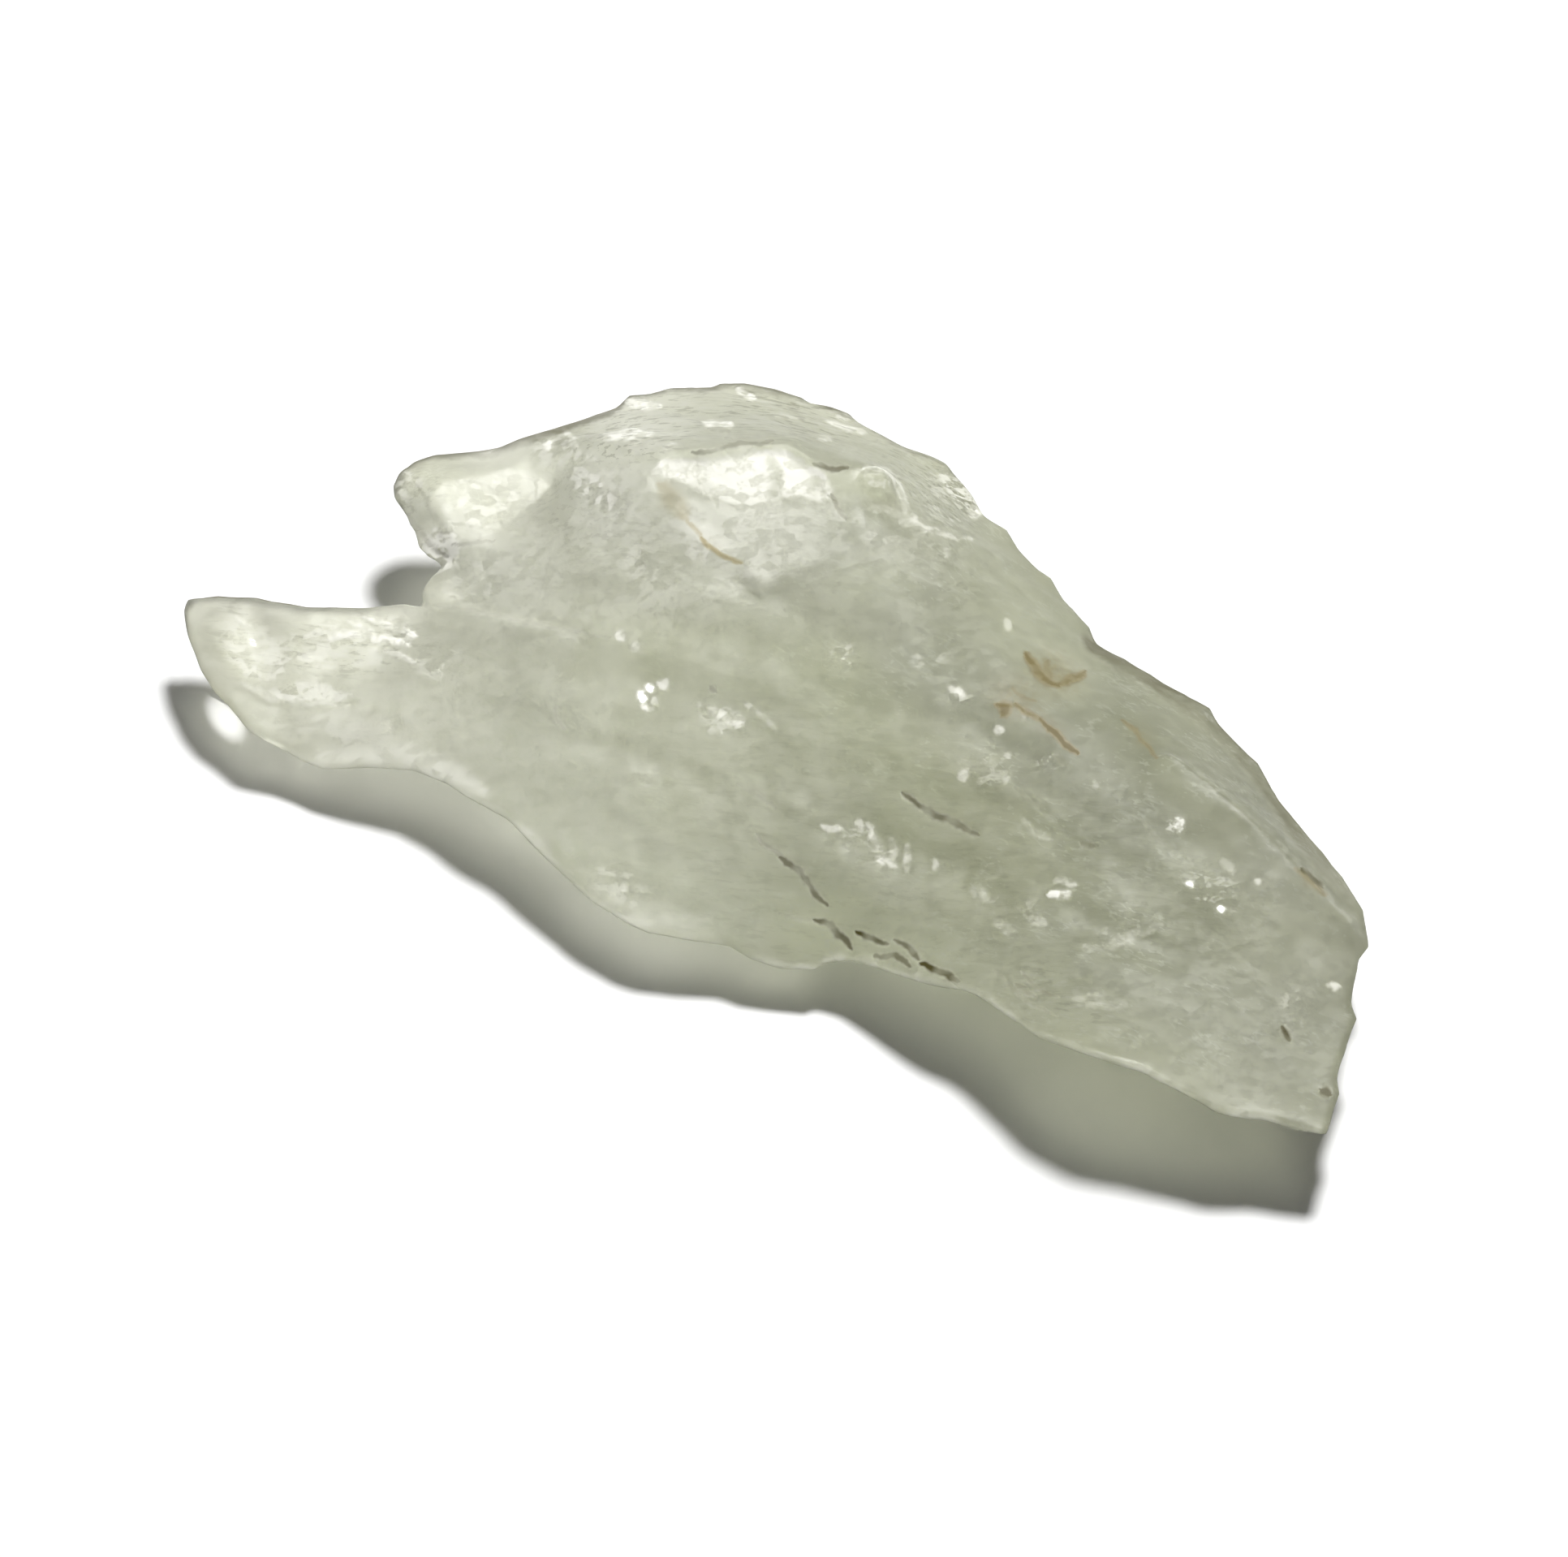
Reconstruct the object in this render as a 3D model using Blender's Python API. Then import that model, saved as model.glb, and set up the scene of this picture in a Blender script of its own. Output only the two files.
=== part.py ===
"""A raw shard of prasiolite, the pale green quartz, lying on its belly on a table.

It is one broken piece of crystal, so it is one solid.  A thin, uneven rim runs all
round it.  Above the rim, broad fracture faces meet in ridges and step down in ledges;
below it, a belly of steeper faces runs down to the flat facet that the shard rests on.

The points below are in millimetres, in the plane of the table, with the shard's long
way running down to the right; z is the height above the table.  The finished shard is
turned to lie along X and moved over the origin.
"""

from math import ceil, cos, floor, hypot, radians, sin

import bmesh
import bpy
from mathutils import Matrix, Vector, noise
from mathutils.bvhtree import BVHTree
from mathutils.geometry import delaunay_2d_cdt

MM = 0.001

# Driving dimensions, in millimetres and degrees.
LIE_TURN = 29.0           # turns the shard's long way onto X
RIM_STEP = 0.75           # spacing of the points along the broken rim
EDGE_INSET = 0.24         # how far the faces stop inside the rim
EDGE_HALF_HEIGHT = 0.18   # half the height of the blunt edge
EDGE_CRUMBLE = 0.05       # in and out unevenness of the edge
UPPER_STEP = 0.60         # spacing of the points on the upper faces
LOWER_STEP = 1.05         # spacing of the points on the belly
FLAT = 0.0001             # what lies this low belongs to the facet it rests on
CLEAR = 0.02              # everything else stays at least this far off the table
UPPER_SWELL = 0.12        # height of the broad swells on the upper faces
LOWER_SWELL = 0.30        # the same on the belly
SWELL_WIDTH = 5.0         # how wide a swell is
GRAIN = 0.05              # height of the finer unevenness
GRAIN_WIDTH = 1.5
SMOOTHEST = 0.15          # share of the relief left on a smooth face
LEDGE_LIE = -25.0         # direction in which the ledges run, from X
LEDGE_WIDTH = 2.6         # from one ledge to the next
LEDGE_FALL = 0.26         # height lost in a ledge's riser
SOFTENING = 30            # passes that round the faces off where no sharp line crosses them

# The rim, walked clockwise as seen from above: x, y and height.
LOWER_PRONG_BACK = [
    (-23.0, 4.2, 3.7), (-22.8, 4.6, 3.9), (-21.6, 4.7, 4.0), (-20.1, 4.5, 4.1),
    (-18.2, 4.0, 4.2), (-15.9, 3.9, 4.3), (-14.4, 4.0, 4.4),
]
NOTCH = [
    (-13.7, 3.8, 4.4), (-13.8, 4.4, 4.3), (-13.7, 4.9, 4.3), (-13.4, 5.3, 4.5),
    (-12.9, 5.5, 4.8),
]
UPPER_PRONG = [
    (-13.5, 5.8, 4.9), (-13.9, 6.2, 5.0), (-14.1, 7.0, 5.0), (-14.4, 7.7, 5.0),
    (-14.9, 8.6, 5.0), (-14.9, 9.2, 5.0), (-14.7, 9.9, 5.0), (-14.1, 10.4, 5.0),
    (-13.3, 10.7, 5.1), (-11.6, 10.7, 5.3), (-10.8, 10.8, 5.4), (-10.0, 11.2, 5.5),
    (-8.4, 11.7, 5.6),
]
BACK_EDGE = [
    (-6.3, 12.5, 5.7), (-5.8, 13.1, 5.7), (-5.0, 13.2, 5.7), (-4.1, 13.5, 5.7),
    (-2.6, 13.5, 5.7), (-2.3, 13.7, 5.7), (-1.4, 13.7, 5.7), (-0.2, 13.5, 5.6),
    (0.9, 13.1, 5.6), (1.2, 12.8, 5.6), (2.1, 12.7, 5.5), (2.7, 12.4, 5.5),
    (3.1, 12.0, 5.4), (4.8, 11.0, 5.2), (5.9, 10.6, 5.1), (6.5, 10.3, 5.0),
    (7.0, 9.6, 4.9), (7.5, 8.9, 4.8), (7.9, 8.0, 4.7), (8.8, 7.4, 4.6),
    (9.3, 6.4, 4.6), (10.0, 5.5, 4.6), (10.5, 5.1, 4.6), (11.0, 4.0, 4.6),
    (12.0, 2.7, 4.6), (12.2, 1.9, 4.6),
]
RIGHT_EDGE = [
    (13.3, 1.2, 4.6), (14.8, 0.1, 4.5), (16.6, -1.1, 4.5), (16.9, -1.8, 4.4),
    (18.4, -3.6, 4.3), (19.2, -5.3, 4.2), (21.6, -8.9, 4.1), (22.4, -10.4, 4.0),
]
BLUNT_END = [
    (22.6, -12.2, 4.0), (22.2, -12.8, 4.0), (22.1, -13.8, 4.0), (21.9, -14.8, 4.0),
    (22.1, -15.6, 4.0), (21.6, -17.4, 3.9), (21.3, -18.4, 3.9), (21.4, -19.1, 3.9),
    (20.9, -21.1, 3.9),
]
FRONT_EDGE = [
    (19.7, -20.9, 4.0), (18.5, -20.6, 4.2), (17.7, -20.6, 4.3), (16.7, -20.5, 4.5),
    (16.1, -20.2, 4.7), (15.0, -19.8, 5.1), (13.8, -19.3, 5.5), (12.6, -19.0, 5.7),
    (11.9, -18.8, 5.8), (10.6, -18.0, 5.5), (10.0, -17.6, 5.3), (9.1, -16.6, 5.0),
    (7.8, -15.2, 4.6), (7.0, -14.6, 4.4), (5.9, -14.1, 4.0), (4.7, -13.3, 3.5),
    (3.8, -12.6, 3.1), (2.8, -11.9, 2.7), (1.7, -11.7, 2.2), (1.4, -11.9, 2.1),
    (0.0, -11.8, 2.0), (-1.2, -11.5, 2.3), (-1.9, -11.1, 2.5), (-3.6, -10.9, 2.7),
    (-5.0, -10.7, 2.8), (-5.9, -10.3, 2.9), (-7.2, -9.3, 3.0), (-8.1, -8.4, 3.1),
    (-9.4, -7.0, 3.3), (-10.5, -5.7, 3.5), (-11.6, -5.0, 3.5), (-12.8, -3.9, 3.3),
    (-14.1, -3.1, 3.1), (-15.9, -2.7, 2.7), (-17.5, -2.3, 2.1), (-18.3, -1.9, 2.0),
    (-19.0, -1.5, 2.2), (-20.4, -1.0, 2.7), (-21.1, -0.1, 3.0), (-21.7, 0.5, 3.2),
    (-22.3, 1.5, 3.4), (-22.8, 2.9, 3.6),
]
RIM = LOWER_PRONG_BACK + NOTCH + UPPER_PRONG + BACK_EDGE + RIGHT_EDGE + BLUNT_END + FRONT_EDGE

# Ridges and hollow lines of the upper side.
BACK_RIDGE = [
    (-14.2, 8.9, 5.5), (-13.0, 8.4, 6.3), (-11.7, 8.7, 6.3), (-9.7, 9.1, 6.2),
    (-8.5, 9.2, 6.9), (-7.2, 9.0, 7.9), (-5.8, 8.2, 8.9), (-5.0, 7.6, 9.3),
    (-3.0, 7.3, 9.8), (-0.8, 7.6, 9.9), (0.2, 7.6, 9.9), (0.8, 7.3, 9.8),
    (1.6, 6.6, 9.7), (2.5, 6.6, 9.6), (3.3, 6.4, 9.7), (4.1, 6.4, 9.7),
]
RIGHT_RIDGE = [
    (4.5, 5.8, 9.7), (5.0, 4.5, 9.6), (5.5, 3.7, 9.5), (6.3, 2.2, 9.1),
    (7.5, 0.2, 8.7), (9.1, -1.5, 8.3), (10.9, -3.0, 8.2), (13.1, -4.4, 8.0),
]
END_RIDGE = [
    (15.0, -5.8, 7.8), (16.3, -6.9, 7.6), (17.8, -8.2, 7.2), (20.0, -10.3, 6.3),
    (21.8, -11.8, 5.1),
]
RIGHT_SHOULDER = [(6.4, 4.2, 8.6), (7.5, 4.4, 7.9), (8.6, 4.3, 6.9)]
PRONG_FACET = [
    (-13.3, 7.9, 6.3), (-12.9, 6.9, 6.0), (-12.4, 6.0, 5.8), (-11.2, 6.2, 5.7),
    (-9.4, 7.8, 5.9), (-8.8, 8.4, 6.0),
]
CHIP_LIP = [
    (-4.5, 7.0, 9.3), (-2.5, 7.0, 9.4), (-1.1, 7.3, 9.5), (0.1, 7.3, 9.5),
    (0.7, 7.0, 9.4), (1.4, 6.3, 9.3),
]
CHIP_FOOT = [
    (-5.1, 6.3, 9.1), (-2.8, 5.6, 9.1), (-0.9, 5.2, 9.1), (0.8, 5.4, 9.1),
    (2.0, 5.4, 9.1),
]
APRON = [
    (-4.2, 5.2, 8.9), (-3.6, 4.5, 8.7), (-2.3, 3.3, 8.5), (-1.4, 2.9, 8.4),
    (-0.8, 2.1, 8.3), (0.9, 2.6, 8.5), (2.2, 3.2, 8.7),
]
APRON_FOOT = [
    (-4.6, 5.0, 8.6), (-3.9, 4.0, 8.3), (-2.5, 2.8, 8.1), (-1.6, 2.4, 7.9),
    (-0.7, 1.6, 7.8), (1.0, 2.1, 8.2), (2.4, 2.7, 8.5),
]
MAIN_FACE_LEFT = [
    (-6.0, 5.0, 8.1), (-6.8, 2.6, 7.2), (-8.4, -0.4, 6.0),
]
NOTCH_LEDGE = [(-12.6, 3.4, 4.9), (-11.3, 2.6, 5.4), (-8.6, 1.3, 6.2)]
NOTCH_LEDGE_FOOT = [(-12.4, 4.1, 4.6), (-11.1, 3.0, 5.2), (-8.5, 1.7, 6.1)]
SPINE = [
    (-21.6, 2.5, 3.9), (-20.6, 0.8, 3.6), (-19.7, 0.3, 3.4), (-16.6, -0.1, 3.3),
    (-14.4, -1.3, 4.1), (-10.6, -2.3, 5.0), (-6.3, -3.5, 5.3), (-1.9, -5.3, 5.4),
    (1.9, -7.3, 5.3), (4.7, -9.1, 5.1), (7.5, -10.2, 5.2), (11.6, -11.5, 5.6),
    (15.0, -12.0, 5.7), (18.8, -13.0, 5.2), (21.2, -13.8, 4.6),
]
SHARP_LINES = [
    BACK_RIDGE, END_RIDGE, PRONG_FACET, CHIP_LIP, CHIP_FOOT, APRON, APRON_FOOT, NOTCH_LEDGE,
    NOTCH_LEDGE_FOOT,
]
SOFT_LINES = [RIGHT_RIDGE, RIGHT_SHOULDER, MAIN_FACE_LEFT, SPINE]
UPPER_POINTS = [(-19.1, 2.4, 4.4), (-16.0, 1.9, 4.6)]

# Smooth faces, which keep only a little of the relief: x, y, half length and half width.
SMOOTH_FACES = [
    (-11.2, 7.5, 2.4, 1.6), (-1.5, 6.2, 3.6, 1.0), (-0.3, 4.1, 2.6, 1.7),
    (-9.0, -5.2, 4.5, 2.2), (-3.5, -8.2, 5.5, 2.6), (17.0, -16.4, 7.0, 4.2),
]

# The facet that the shard rests on, and the keels that run from it towards the rim.
REST_FACET = [
    (-8.0, 3.0, 0.0), (-3.0, 5.5, 0.0), (4.0, 3.5, 0.0), (10.0, -2.5, 0.0),
    (12.5, -8.0, 0.0), (8.5, -10.5, 0.0), (2.0, -8.0, 0.0), (-4.0, -5.0, 0.0),
]
PRONG_KEEL = [(-10.5, 2.6, 1.3), (-16.0, 1.2, 1.7), (-21.0, 2.4, 2.4)]
UPPER_PRONG_KEEL = [(-6.5, 6.6, 1.7), (-10.6, 8.4, 3.4), (-13.2, 8.8, 4.1)]
BACK_KEEL = [(3.0, 7.4, 2.0), (4.6, 9.4, 3.7)]
RIGHT_KEEL = [(14.6, -6.9, 1.5), (18.6, -9.4, 2.5)]
END_KEEL = [(15.0, -11.8, 1.5), (18.6, -15.4, 2.1), (19.8, -19.0, 3.0)]
FRONT_KEEL = [(-6.4, -5.8, 0.9), (-9.3, -4.7, 2.1)]
LOWER_LINES = [
    REST_FACET + REST_FACET[:1], PRONG_KEEL, UPPER_PRONG_KEEL, BACK_KEEL, RIGHT_KEEL,
    END_KEEL, FRONT_KEEL,
]

# Scoops left where flakes came off the upper side: x, y, length and width, depth.
SCOOPS = [
    (3.9, 5.5, 1.3, 0.7, 0.30), (-5.2, -0.9, 1.7, 0.8, 0.14), (-1.2, -2.4, 2.0, 0.8, 0.14),
    (3.2, -7.6, 2.3, 0.7, 0.20), (6.6, -9.3, 1.8, 0.7, 0.18), (16.2, -9.6, 1.7, 0.9, 0.20),
    (13.4, -13.2, 2.8, 0.8, 0.16), (-19.8, 2.4, 1.7, 0.8, 0.16), (-17.0, 1.6, 1.8, 0.9, 0.16),
    (-6.9, 10.3, 1.6, 0.6, 0.18), (-3.0, 10.6, 1.9, 0.6, 0.20), (1.6, 10.2, 1.9, 0.7, 0.18),
    (6.9, 6.3, 1.5, 0.7, 0.20), (10.9, 0.6, 1.8, 0.7, 0.18), (8.8, -4.5, 2.0, 0.9, 0.12),
]


def resampled(line, step, closed=False):
    """The line with points added so that they lie no further apart than step."""
    ends = [Vector(point) for point in line]
    pairs = list(zip(ends, ends[1:] + ends[:1] if closed else ends[1:]))
    points = []
    for start, end in pairs:
        count = max(1, ceil((end.xy - start.xy).length / step))
        points += [start.lerp(end, index / count) for index in range(count)]
    if not closed:
        points.append(ends[-1])
    return points


def outward(points, index):
    """The direction pointing away from the shard at this point of the clockwise rim."""
    before = points[index - 1].xy
    after = points[(index + 1) % len(points)].xy
    along = (after - before).normalized()
    return Vector((-along.y, along.x))


def broken_rim():
    """The rim's outermost points, a little uneven."""
    points = resampled(RIM, RIM_STEP, closed=True)
    moved = []
    for index, point in enumerate(points):
        out = outward(points, index) * EDGE_CRUMBLE * noise.noise(point * 1.9)
        moved.append(point + Vector((out.x, out.y, 0)))
    return moved


def inner_rim(rim, up):
    """The loop where the faces on one side stop, inside the rim and above or below it."""
    loop = []
    for index, point in enumerate(rim):
        out = outward(rim, index) * EDGE_INSET
        height = up * EDGE_HALF_HEIGHT * (1 + 0.35 * noise.noise(point * 0.7))
        loop.append(point - Vector((out.x, out.y, -height)))
    return loop


def inside(loop, x, y):
    """Whether the point lies inside the loop, by counting the sides to its right."""
    crossings = 0
    for start, end in zip(loop, loop[1:] + loop[:1]):
        if (start.y > y) != (end.y > y):
            crossings += x < start.x + (y - start.y) * (end.x - start.x) / (end.y - start.y)
    return crossings % 2 == 1


def triangles(loop, lines, loose):
    """The points and triangles of the area inside the loop, with the lines as edges."""
    points = list(loop)
    edges = []
    for line in lines:
        first = len(points)
        closed = (line[0] - line[-1]).length < 1e-6
        points += line[:-1] if closed else line
        last = len(points) - 1
        edges += [(index, index + 1) for index in range(first, last)]
        if closed:
            edges.append((last, first))
    points += loose
    flat = [point.xy for point in points]
    around = list(range(len(loop)))[::-1]
    placed, _, faces, sources, _, _ = delaunay_2d_cdt(flat, edges, [around], 1, 1e-5)
    solid = []
    for where, source in zip(placed, sources):
        solid.append(points[source[0]] if source else Vector((where.x, where.y, 0)))
    return solid, [list(face) for face in faces]


def staggered(loop, taken, step):
    """An even, staggered grid of plan points inside the loop, clear of the points taken."""
    cells = {}
    for point in taken:
        cells.setdefault((floor(point.x / step), floor(point.y / step)), []).append(point.xy)
    left, right = min(p.x for p in loop), max(p.x for p in loop)
    front, back = min(p.y for p in loop), max(p.y for p in loop)
    rows = ceil((back - front) / (step * 0.866))
    columns = ceil((right - left) / step)
    spots = []
    for row in range(rows):
        for column in range(columns):
            seed = Vector((column * 1.7, row * 1.3, 0.5))
            x = left + (column + 0.5 * (row % 2)) * step + 0.18 * step * noise.noise(seed)
            y = front + row * step * 0.866 + 0.18 * step * noise.noise(seed.yxz)
            if not inside(loop, x, y):
                continue
            cell = (floor(x / step), floor(y / step))
            near = [
                other
                for across in (-1, 0, 1)
                for up in (-1, 0, 1)
                for other in cells.get((cell[0] + across, cell[1] + up), [])
            ]
            if all(hypot(x - other.x, y - other.y) > 0.62 * step for other in near):
                spots.append(Vector((x, y, 0)))
    return spots


def ledges(x, y):
    """Treads and risers that run along the shard, where the upper side slopes to the front."""
    across = x * sin(radians(-LEDGE_LIE)) + y * cos(radians(LEDGE_LIE))
    along = x * cos(radians(LEDGE_LIE)) - y * sin(radians(-LEDGE_LIE))
    across += 1.1 * noise.noise(Vector((along * 0.16, across * 0.35, 3.0)))
    part = across / LEDGE_WIDTH
    part -= floor(part)
    riser = min(1.0, max(0.0, (part - 0.72) / 0.28))
    strength = 0.5 + 0.9 * noise.noise(Vector((along * 0.12, across * 0.22, 8.0)))
    return LEDGE_FALL * min(1.0, max(0.0, strength)) * (riser - part + 0.35)


def swell(x, y, height, width):
    return height * noise.noise(Vector((x / width, y / width, 1.7)))


def roughness(x, y):
    """One on the rough faces, falling to a little in the middle of a smooth face."""
    rough = 1.0
    for at_x, at_y, half_length, half_width in SMOOTH_FACES:
        reach = hypot((x - at_x) / half_length, (y - at_y) / half_width)
        rough = min(rough, max(SMOOTHEST, 2.0 * reach - 1.0))
    return rough


def upper_relief(x, y):
    """How far the upper side stands above its plain faces at this place."""
    lift = swell(x, y, UPPER_SWELL, SWELL_WIDTH) + swell(x, y, GRAIN, GRAIN_WIDTH)
    lift = (lift + ledges(x, y)) * roughness(x, y)
    lie = radians(LEDGE_LIE)
    for at_x, at_y, length, width, depth in SCOOPS:
        along = (x - at_x) * cos(lie) + (y - at_y) * sin(lie)
        across = (y - at_y) * cos(lie) - (x - at_x) * sin(lie)
        reach = hypot(along / length, across / width)
        reach *= 1 + 0.45 * noise.noise(Vector((x, y, at_x)) * 0.9)
        if reach < 1:
            lift -= depth * (1 - reach * reach)
    return lift


def lower_relief(x, y):
    return swell(x, y, LOWER_SWELL, SWELL_WIDTH) + swell(x, y, GRAIN, GRAIN_WIDTH)


def softened(heights, faces, fixed):
    """The heights after each one has moved, again and again, towards those next to it."""
    beside = [set() for _ in heights]
    for face in faces:
        for index in face:
            beside[index].update(face)
    for _ in range(SOFTENING):
        means = [sum(heights[other] for other in near) / max(1, len(near)) for near in beside]
        for index, mean in enumerate(means):
            if index not in fixed:
                heights[index] = mean
    return heights


def sheet(loop, lines, loose, step, relief, soft=(), rests=False):
    """One side of the shard: plain faces between the lines, then their relief.

    The soft lines only lead the faces, which are rounded over them.  A side that rests on
    the table keeps its lowest facet flat and nothing goes below it.
    """
    lines = lines + list(soft)
    plain_points, plain_faces = triangles(loop, [[Vector(p) for p in line] for line in lines],
                                          [Vector(p) for p in loose])
    plain = BVHTree.FromPolygons(plain_points, plain_faces)
    fine_lines = [resampled(line, step) for line in lines]
    taken = list(loop) + [point for line in fine_lines for point in line]
    spots = staggered(loop, taken, step)
    points, faces = triangles(loop, fine_lines, spots)
    heights = [point.z for point in points]
    for index in range(len(loop), len(points)):
        above = Vector((points[index].x, points[index].y, 50.0))
        hit = plain.ray_cast(above, Vector((0, 0, -1)))[0]
        heights[index] = hit.z if hit else heights[index]
    if soft:
        sharp = {point.xy.to_tuple(3) for line in fine_lines[:-len(soft)] for point in line}
        fixed = {index for index, point in enumerate(points) if point.xy.to_tuple(3) in sharp}
        heights = softened(heights, faces, fixed | set(range(len(loop))))
    for index in range(len(loop), len(points)):
        point = points[index]
        height = heights[index]
        on_table = rests and height < FLAT
        if not on_table:
            height += relief(point.x, point.y)
        if rests:
            height = 0.0 if on_table else max(height, CLEAR)
        points[index] = Vector((point.x, point.y, height))
    return points, faces


def shard_mesh():
    """The closed mesh of the shard, in metres, still lying as the points above are given."""
    rim = broken_rim()
    upper_loop = inner_rim(rim, 1)
    lower_loop = inner_rim(rim, -1)
    upper, upper_faces = sheet(upper_loop, SHARP_LINES, UPPER_POINTS, UPPER_STEP, upper_relief,
                               soft=SOFT_LINES)
    lower, lower_faces = sheet(lower_loop, LOWER_LINES, [], LOWER_STEP, lower_relief,
                               rests=True)
    shape = bmesh.new()
    middle_verts = [shape.verts.new(point * MM) for point in rim]
    upper_verts = [shape.verts.new(point * MM) for point in upper]
    lower_verts = [shape.verts.new(point * MM) for point in lower]
    for face in upper_faces:
        shape.faces.new([upper_verts[index] for index in face])
    for face in lower_faces:
        shape.faces.new([lower_verts[index] for index in face][::-1])
    for index in range(len(rim)):
        after = (index + 1) % len(rim)
        for edge, reverse in ((upper_verts, False), (lower_verts, True)):
            quad = [edge[index], edge[after], middle_verts[after], middle_verts[index]]
            shape.faces.new(quad[::-1] if reverse else quad)
    bmesh.ops.triangulate(shape, faces=shape.faces, quad_method="BEAUTY")
    bmesh.ops.recalc_face_normals(shape, faces=shape.faces)
    return shape


def main():
    for obj in list(bpy.data.objects):
        bpy.data.objects.remove(obj, do_unlink=True)
    shape = shard_mesh()
    turn = Matrix.Rotation(radians(LIE_TURN), 4, "Z")
    bmesh.ops.transform(shape, matrix=turn, verts=shape.verts)
    low = Vector([min(vert.co[axis] for vert in shape.verts) for axis in range(3)])
    high = Vector([max(vert.co[axis] for vert in shape.verts) for axis in range(3)])
    middle = (low + high) / 2
    shift = Vector((-middle.x, -middle.y, -low.z))
    bmesh.ops.translate(shape, vec=shift, verts=shape.verts)
    print("turned shard shifted by", [round(value / MM, 3) for value in shift])
    print("size in mm", [round(value / MM, 2) for value in high - low])
    mesh = bpy.data.meshes.new("prasiolite")
    shape.to_mesh(mesh)
    print(len(mesh.polygons), "triangles")
    shape.free()

    crystal = bpy.data.materials.new("pale_green_quartz")
    crystal.use_nodes = True
    finish = crystal.node_tree.nodes["Principled BSDF"]
    finish.inputs["Base Color"].default_value = (0.62, 0.64, 0.52, 1.0)
    finish.inputs["Roughness"].default_value = 0.25
    finish.inputs["Metallic"].default_value = 0.0
    finish.inputs["IOR"].default_value = 1.544
    finish.inputs["Transmission Weight"].default_value = 0.7
    mesh.materials.append(crystal)

    shard = bpy.data.objects.new("prasiolite", mesh)
    bpy.context.scene.collection.objects.link(shard)


main()
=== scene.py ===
# %% [markdown]
# # A raw shard of prasiolite
#
# Prasiolite is quartz that a little iron has turned pale green.  This shard is one
# broken piece: it has no parts and nothing moves.  What makes it look like itself is
# light, which goes into the milky crystal, is tinted on the way and comes out again
# through broken faces, ledges and tiny chips.
#
# The lesson takes the plain solid from the CAD model, refines a copy of it, breaks its
# surface up the way quartz breaks, marks where it is milky, cracked or rust-stained, and
# then builds one see-through material that reads those marks.

from math import cos, radians, sin, tan

import bmesh
import bpy
import numpy as np
from mathutils import Matrix, Vector, noise


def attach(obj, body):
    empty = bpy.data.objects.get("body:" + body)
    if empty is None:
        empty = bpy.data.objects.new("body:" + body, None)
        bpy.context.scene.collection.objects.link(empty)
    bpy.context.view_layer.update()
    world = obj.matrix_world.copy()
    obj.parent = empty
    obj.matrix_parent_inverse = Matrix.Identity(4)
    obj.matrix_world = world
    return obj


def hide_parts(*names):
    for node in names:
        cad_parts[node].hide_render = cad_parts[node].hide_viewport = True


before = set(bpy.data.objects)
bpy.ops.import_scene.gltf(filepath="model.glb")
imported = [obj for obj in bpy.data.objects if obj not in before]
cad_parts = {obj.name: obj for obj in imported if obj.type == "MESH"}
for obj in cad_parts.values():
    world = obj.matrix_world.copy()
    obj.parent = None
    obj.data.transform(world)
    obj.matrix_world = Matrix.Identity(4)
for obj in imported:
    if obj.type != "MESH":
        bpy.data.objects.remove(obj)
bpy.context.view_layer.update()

# %% [markdown]
# ## Working in the stone's own plan
#
# The shard lies with its long way along X.  It is easier to place a scar or a stain on
# it in a plan that is turned towards us, with x to our right and y away from us, in
# millimetres.  Two matrices go from that plan to the model and back.
#
# The stone is looked at from 53 degrees up.  A mark is placed by where it appears from
# there: so far right of the middle and so far up, again in millimetres.

# %% The plan, and the way we look at it
MM = 0.001
LIE_TURN = radians(29.0)
LIE_SHIFT = Vector((-3.158, -0.167, 0.0))
TO_EYE = Vector((0.0, -0.6, 0.8))
turn = Matrix.Rotation(LIE_TURN, 3, "Z")
to_model = Matrix.Translation(LIE_SHIFT) @ turn.to_4x4()
to_plan = to_model.inverted()


def plan_of(place):
    """The plan point, in millimetres, of a point of the model, in metres."""
    return to_plan @ (Vector(place) / MM)


print("the origin lies at plan", [round(value, 2) for value in plan_of((0, 0, 0))])

# %% [markdown]
# ## A finer copy of the solid
#
# The CAD solid holds the main faces, ridges and scoops.  Its triangles are loose, so a
# copy is merged first, then every edge is halved, and halved once more on the side that
# shows.  A light smoothing takes away the last trace of the triangles and leaves the
# faces where they were.  The facet that the shard rests on stays flat.

# %% Merge, divide and smooth
RESTING = 0.02 * MM       # what lies no higher belongs to the facet that the shard rests on
MERGE_WITHIN = 1e-6
SMOOTHING = 0.5
UNDERSIDE = -0.3          # an edge whose ends both face down more than this stays as it is

shape = bmesh.new()
shape.from_mesh(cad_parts["prasiolite"].data)
bmesh.ops.remove_doubles(shape, verts=shape.verts, dist=MERGE_WITHIN)
print("merged copy:", len(shape.verts), "points,", len(shape.faces), "faces")


def divide(edges):
    """Halves these edges and cuts what is left into triangles."""
    bmesh.ops.subdivide_edges(shape, edges=edges, cuts=1, use_grid_fill=True)
    bmesh.ops.triangulate(shape, faces=[face for face in shape.faces if len(face.verts) > 3])
    shape.normal_update()


def smooth_over():
    """Moves each point that is clear of the table half way to its neighbours' middle."""
    raised = [vert for vert in shape.verts if vert.co.z > RESTING]
    bmesh.ops.smooth_vert(shape, verts=raised, factor=SMOOTHING, use_axis_x=True,
                          use_axis_y=True, use_axis_z=True)


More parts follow.
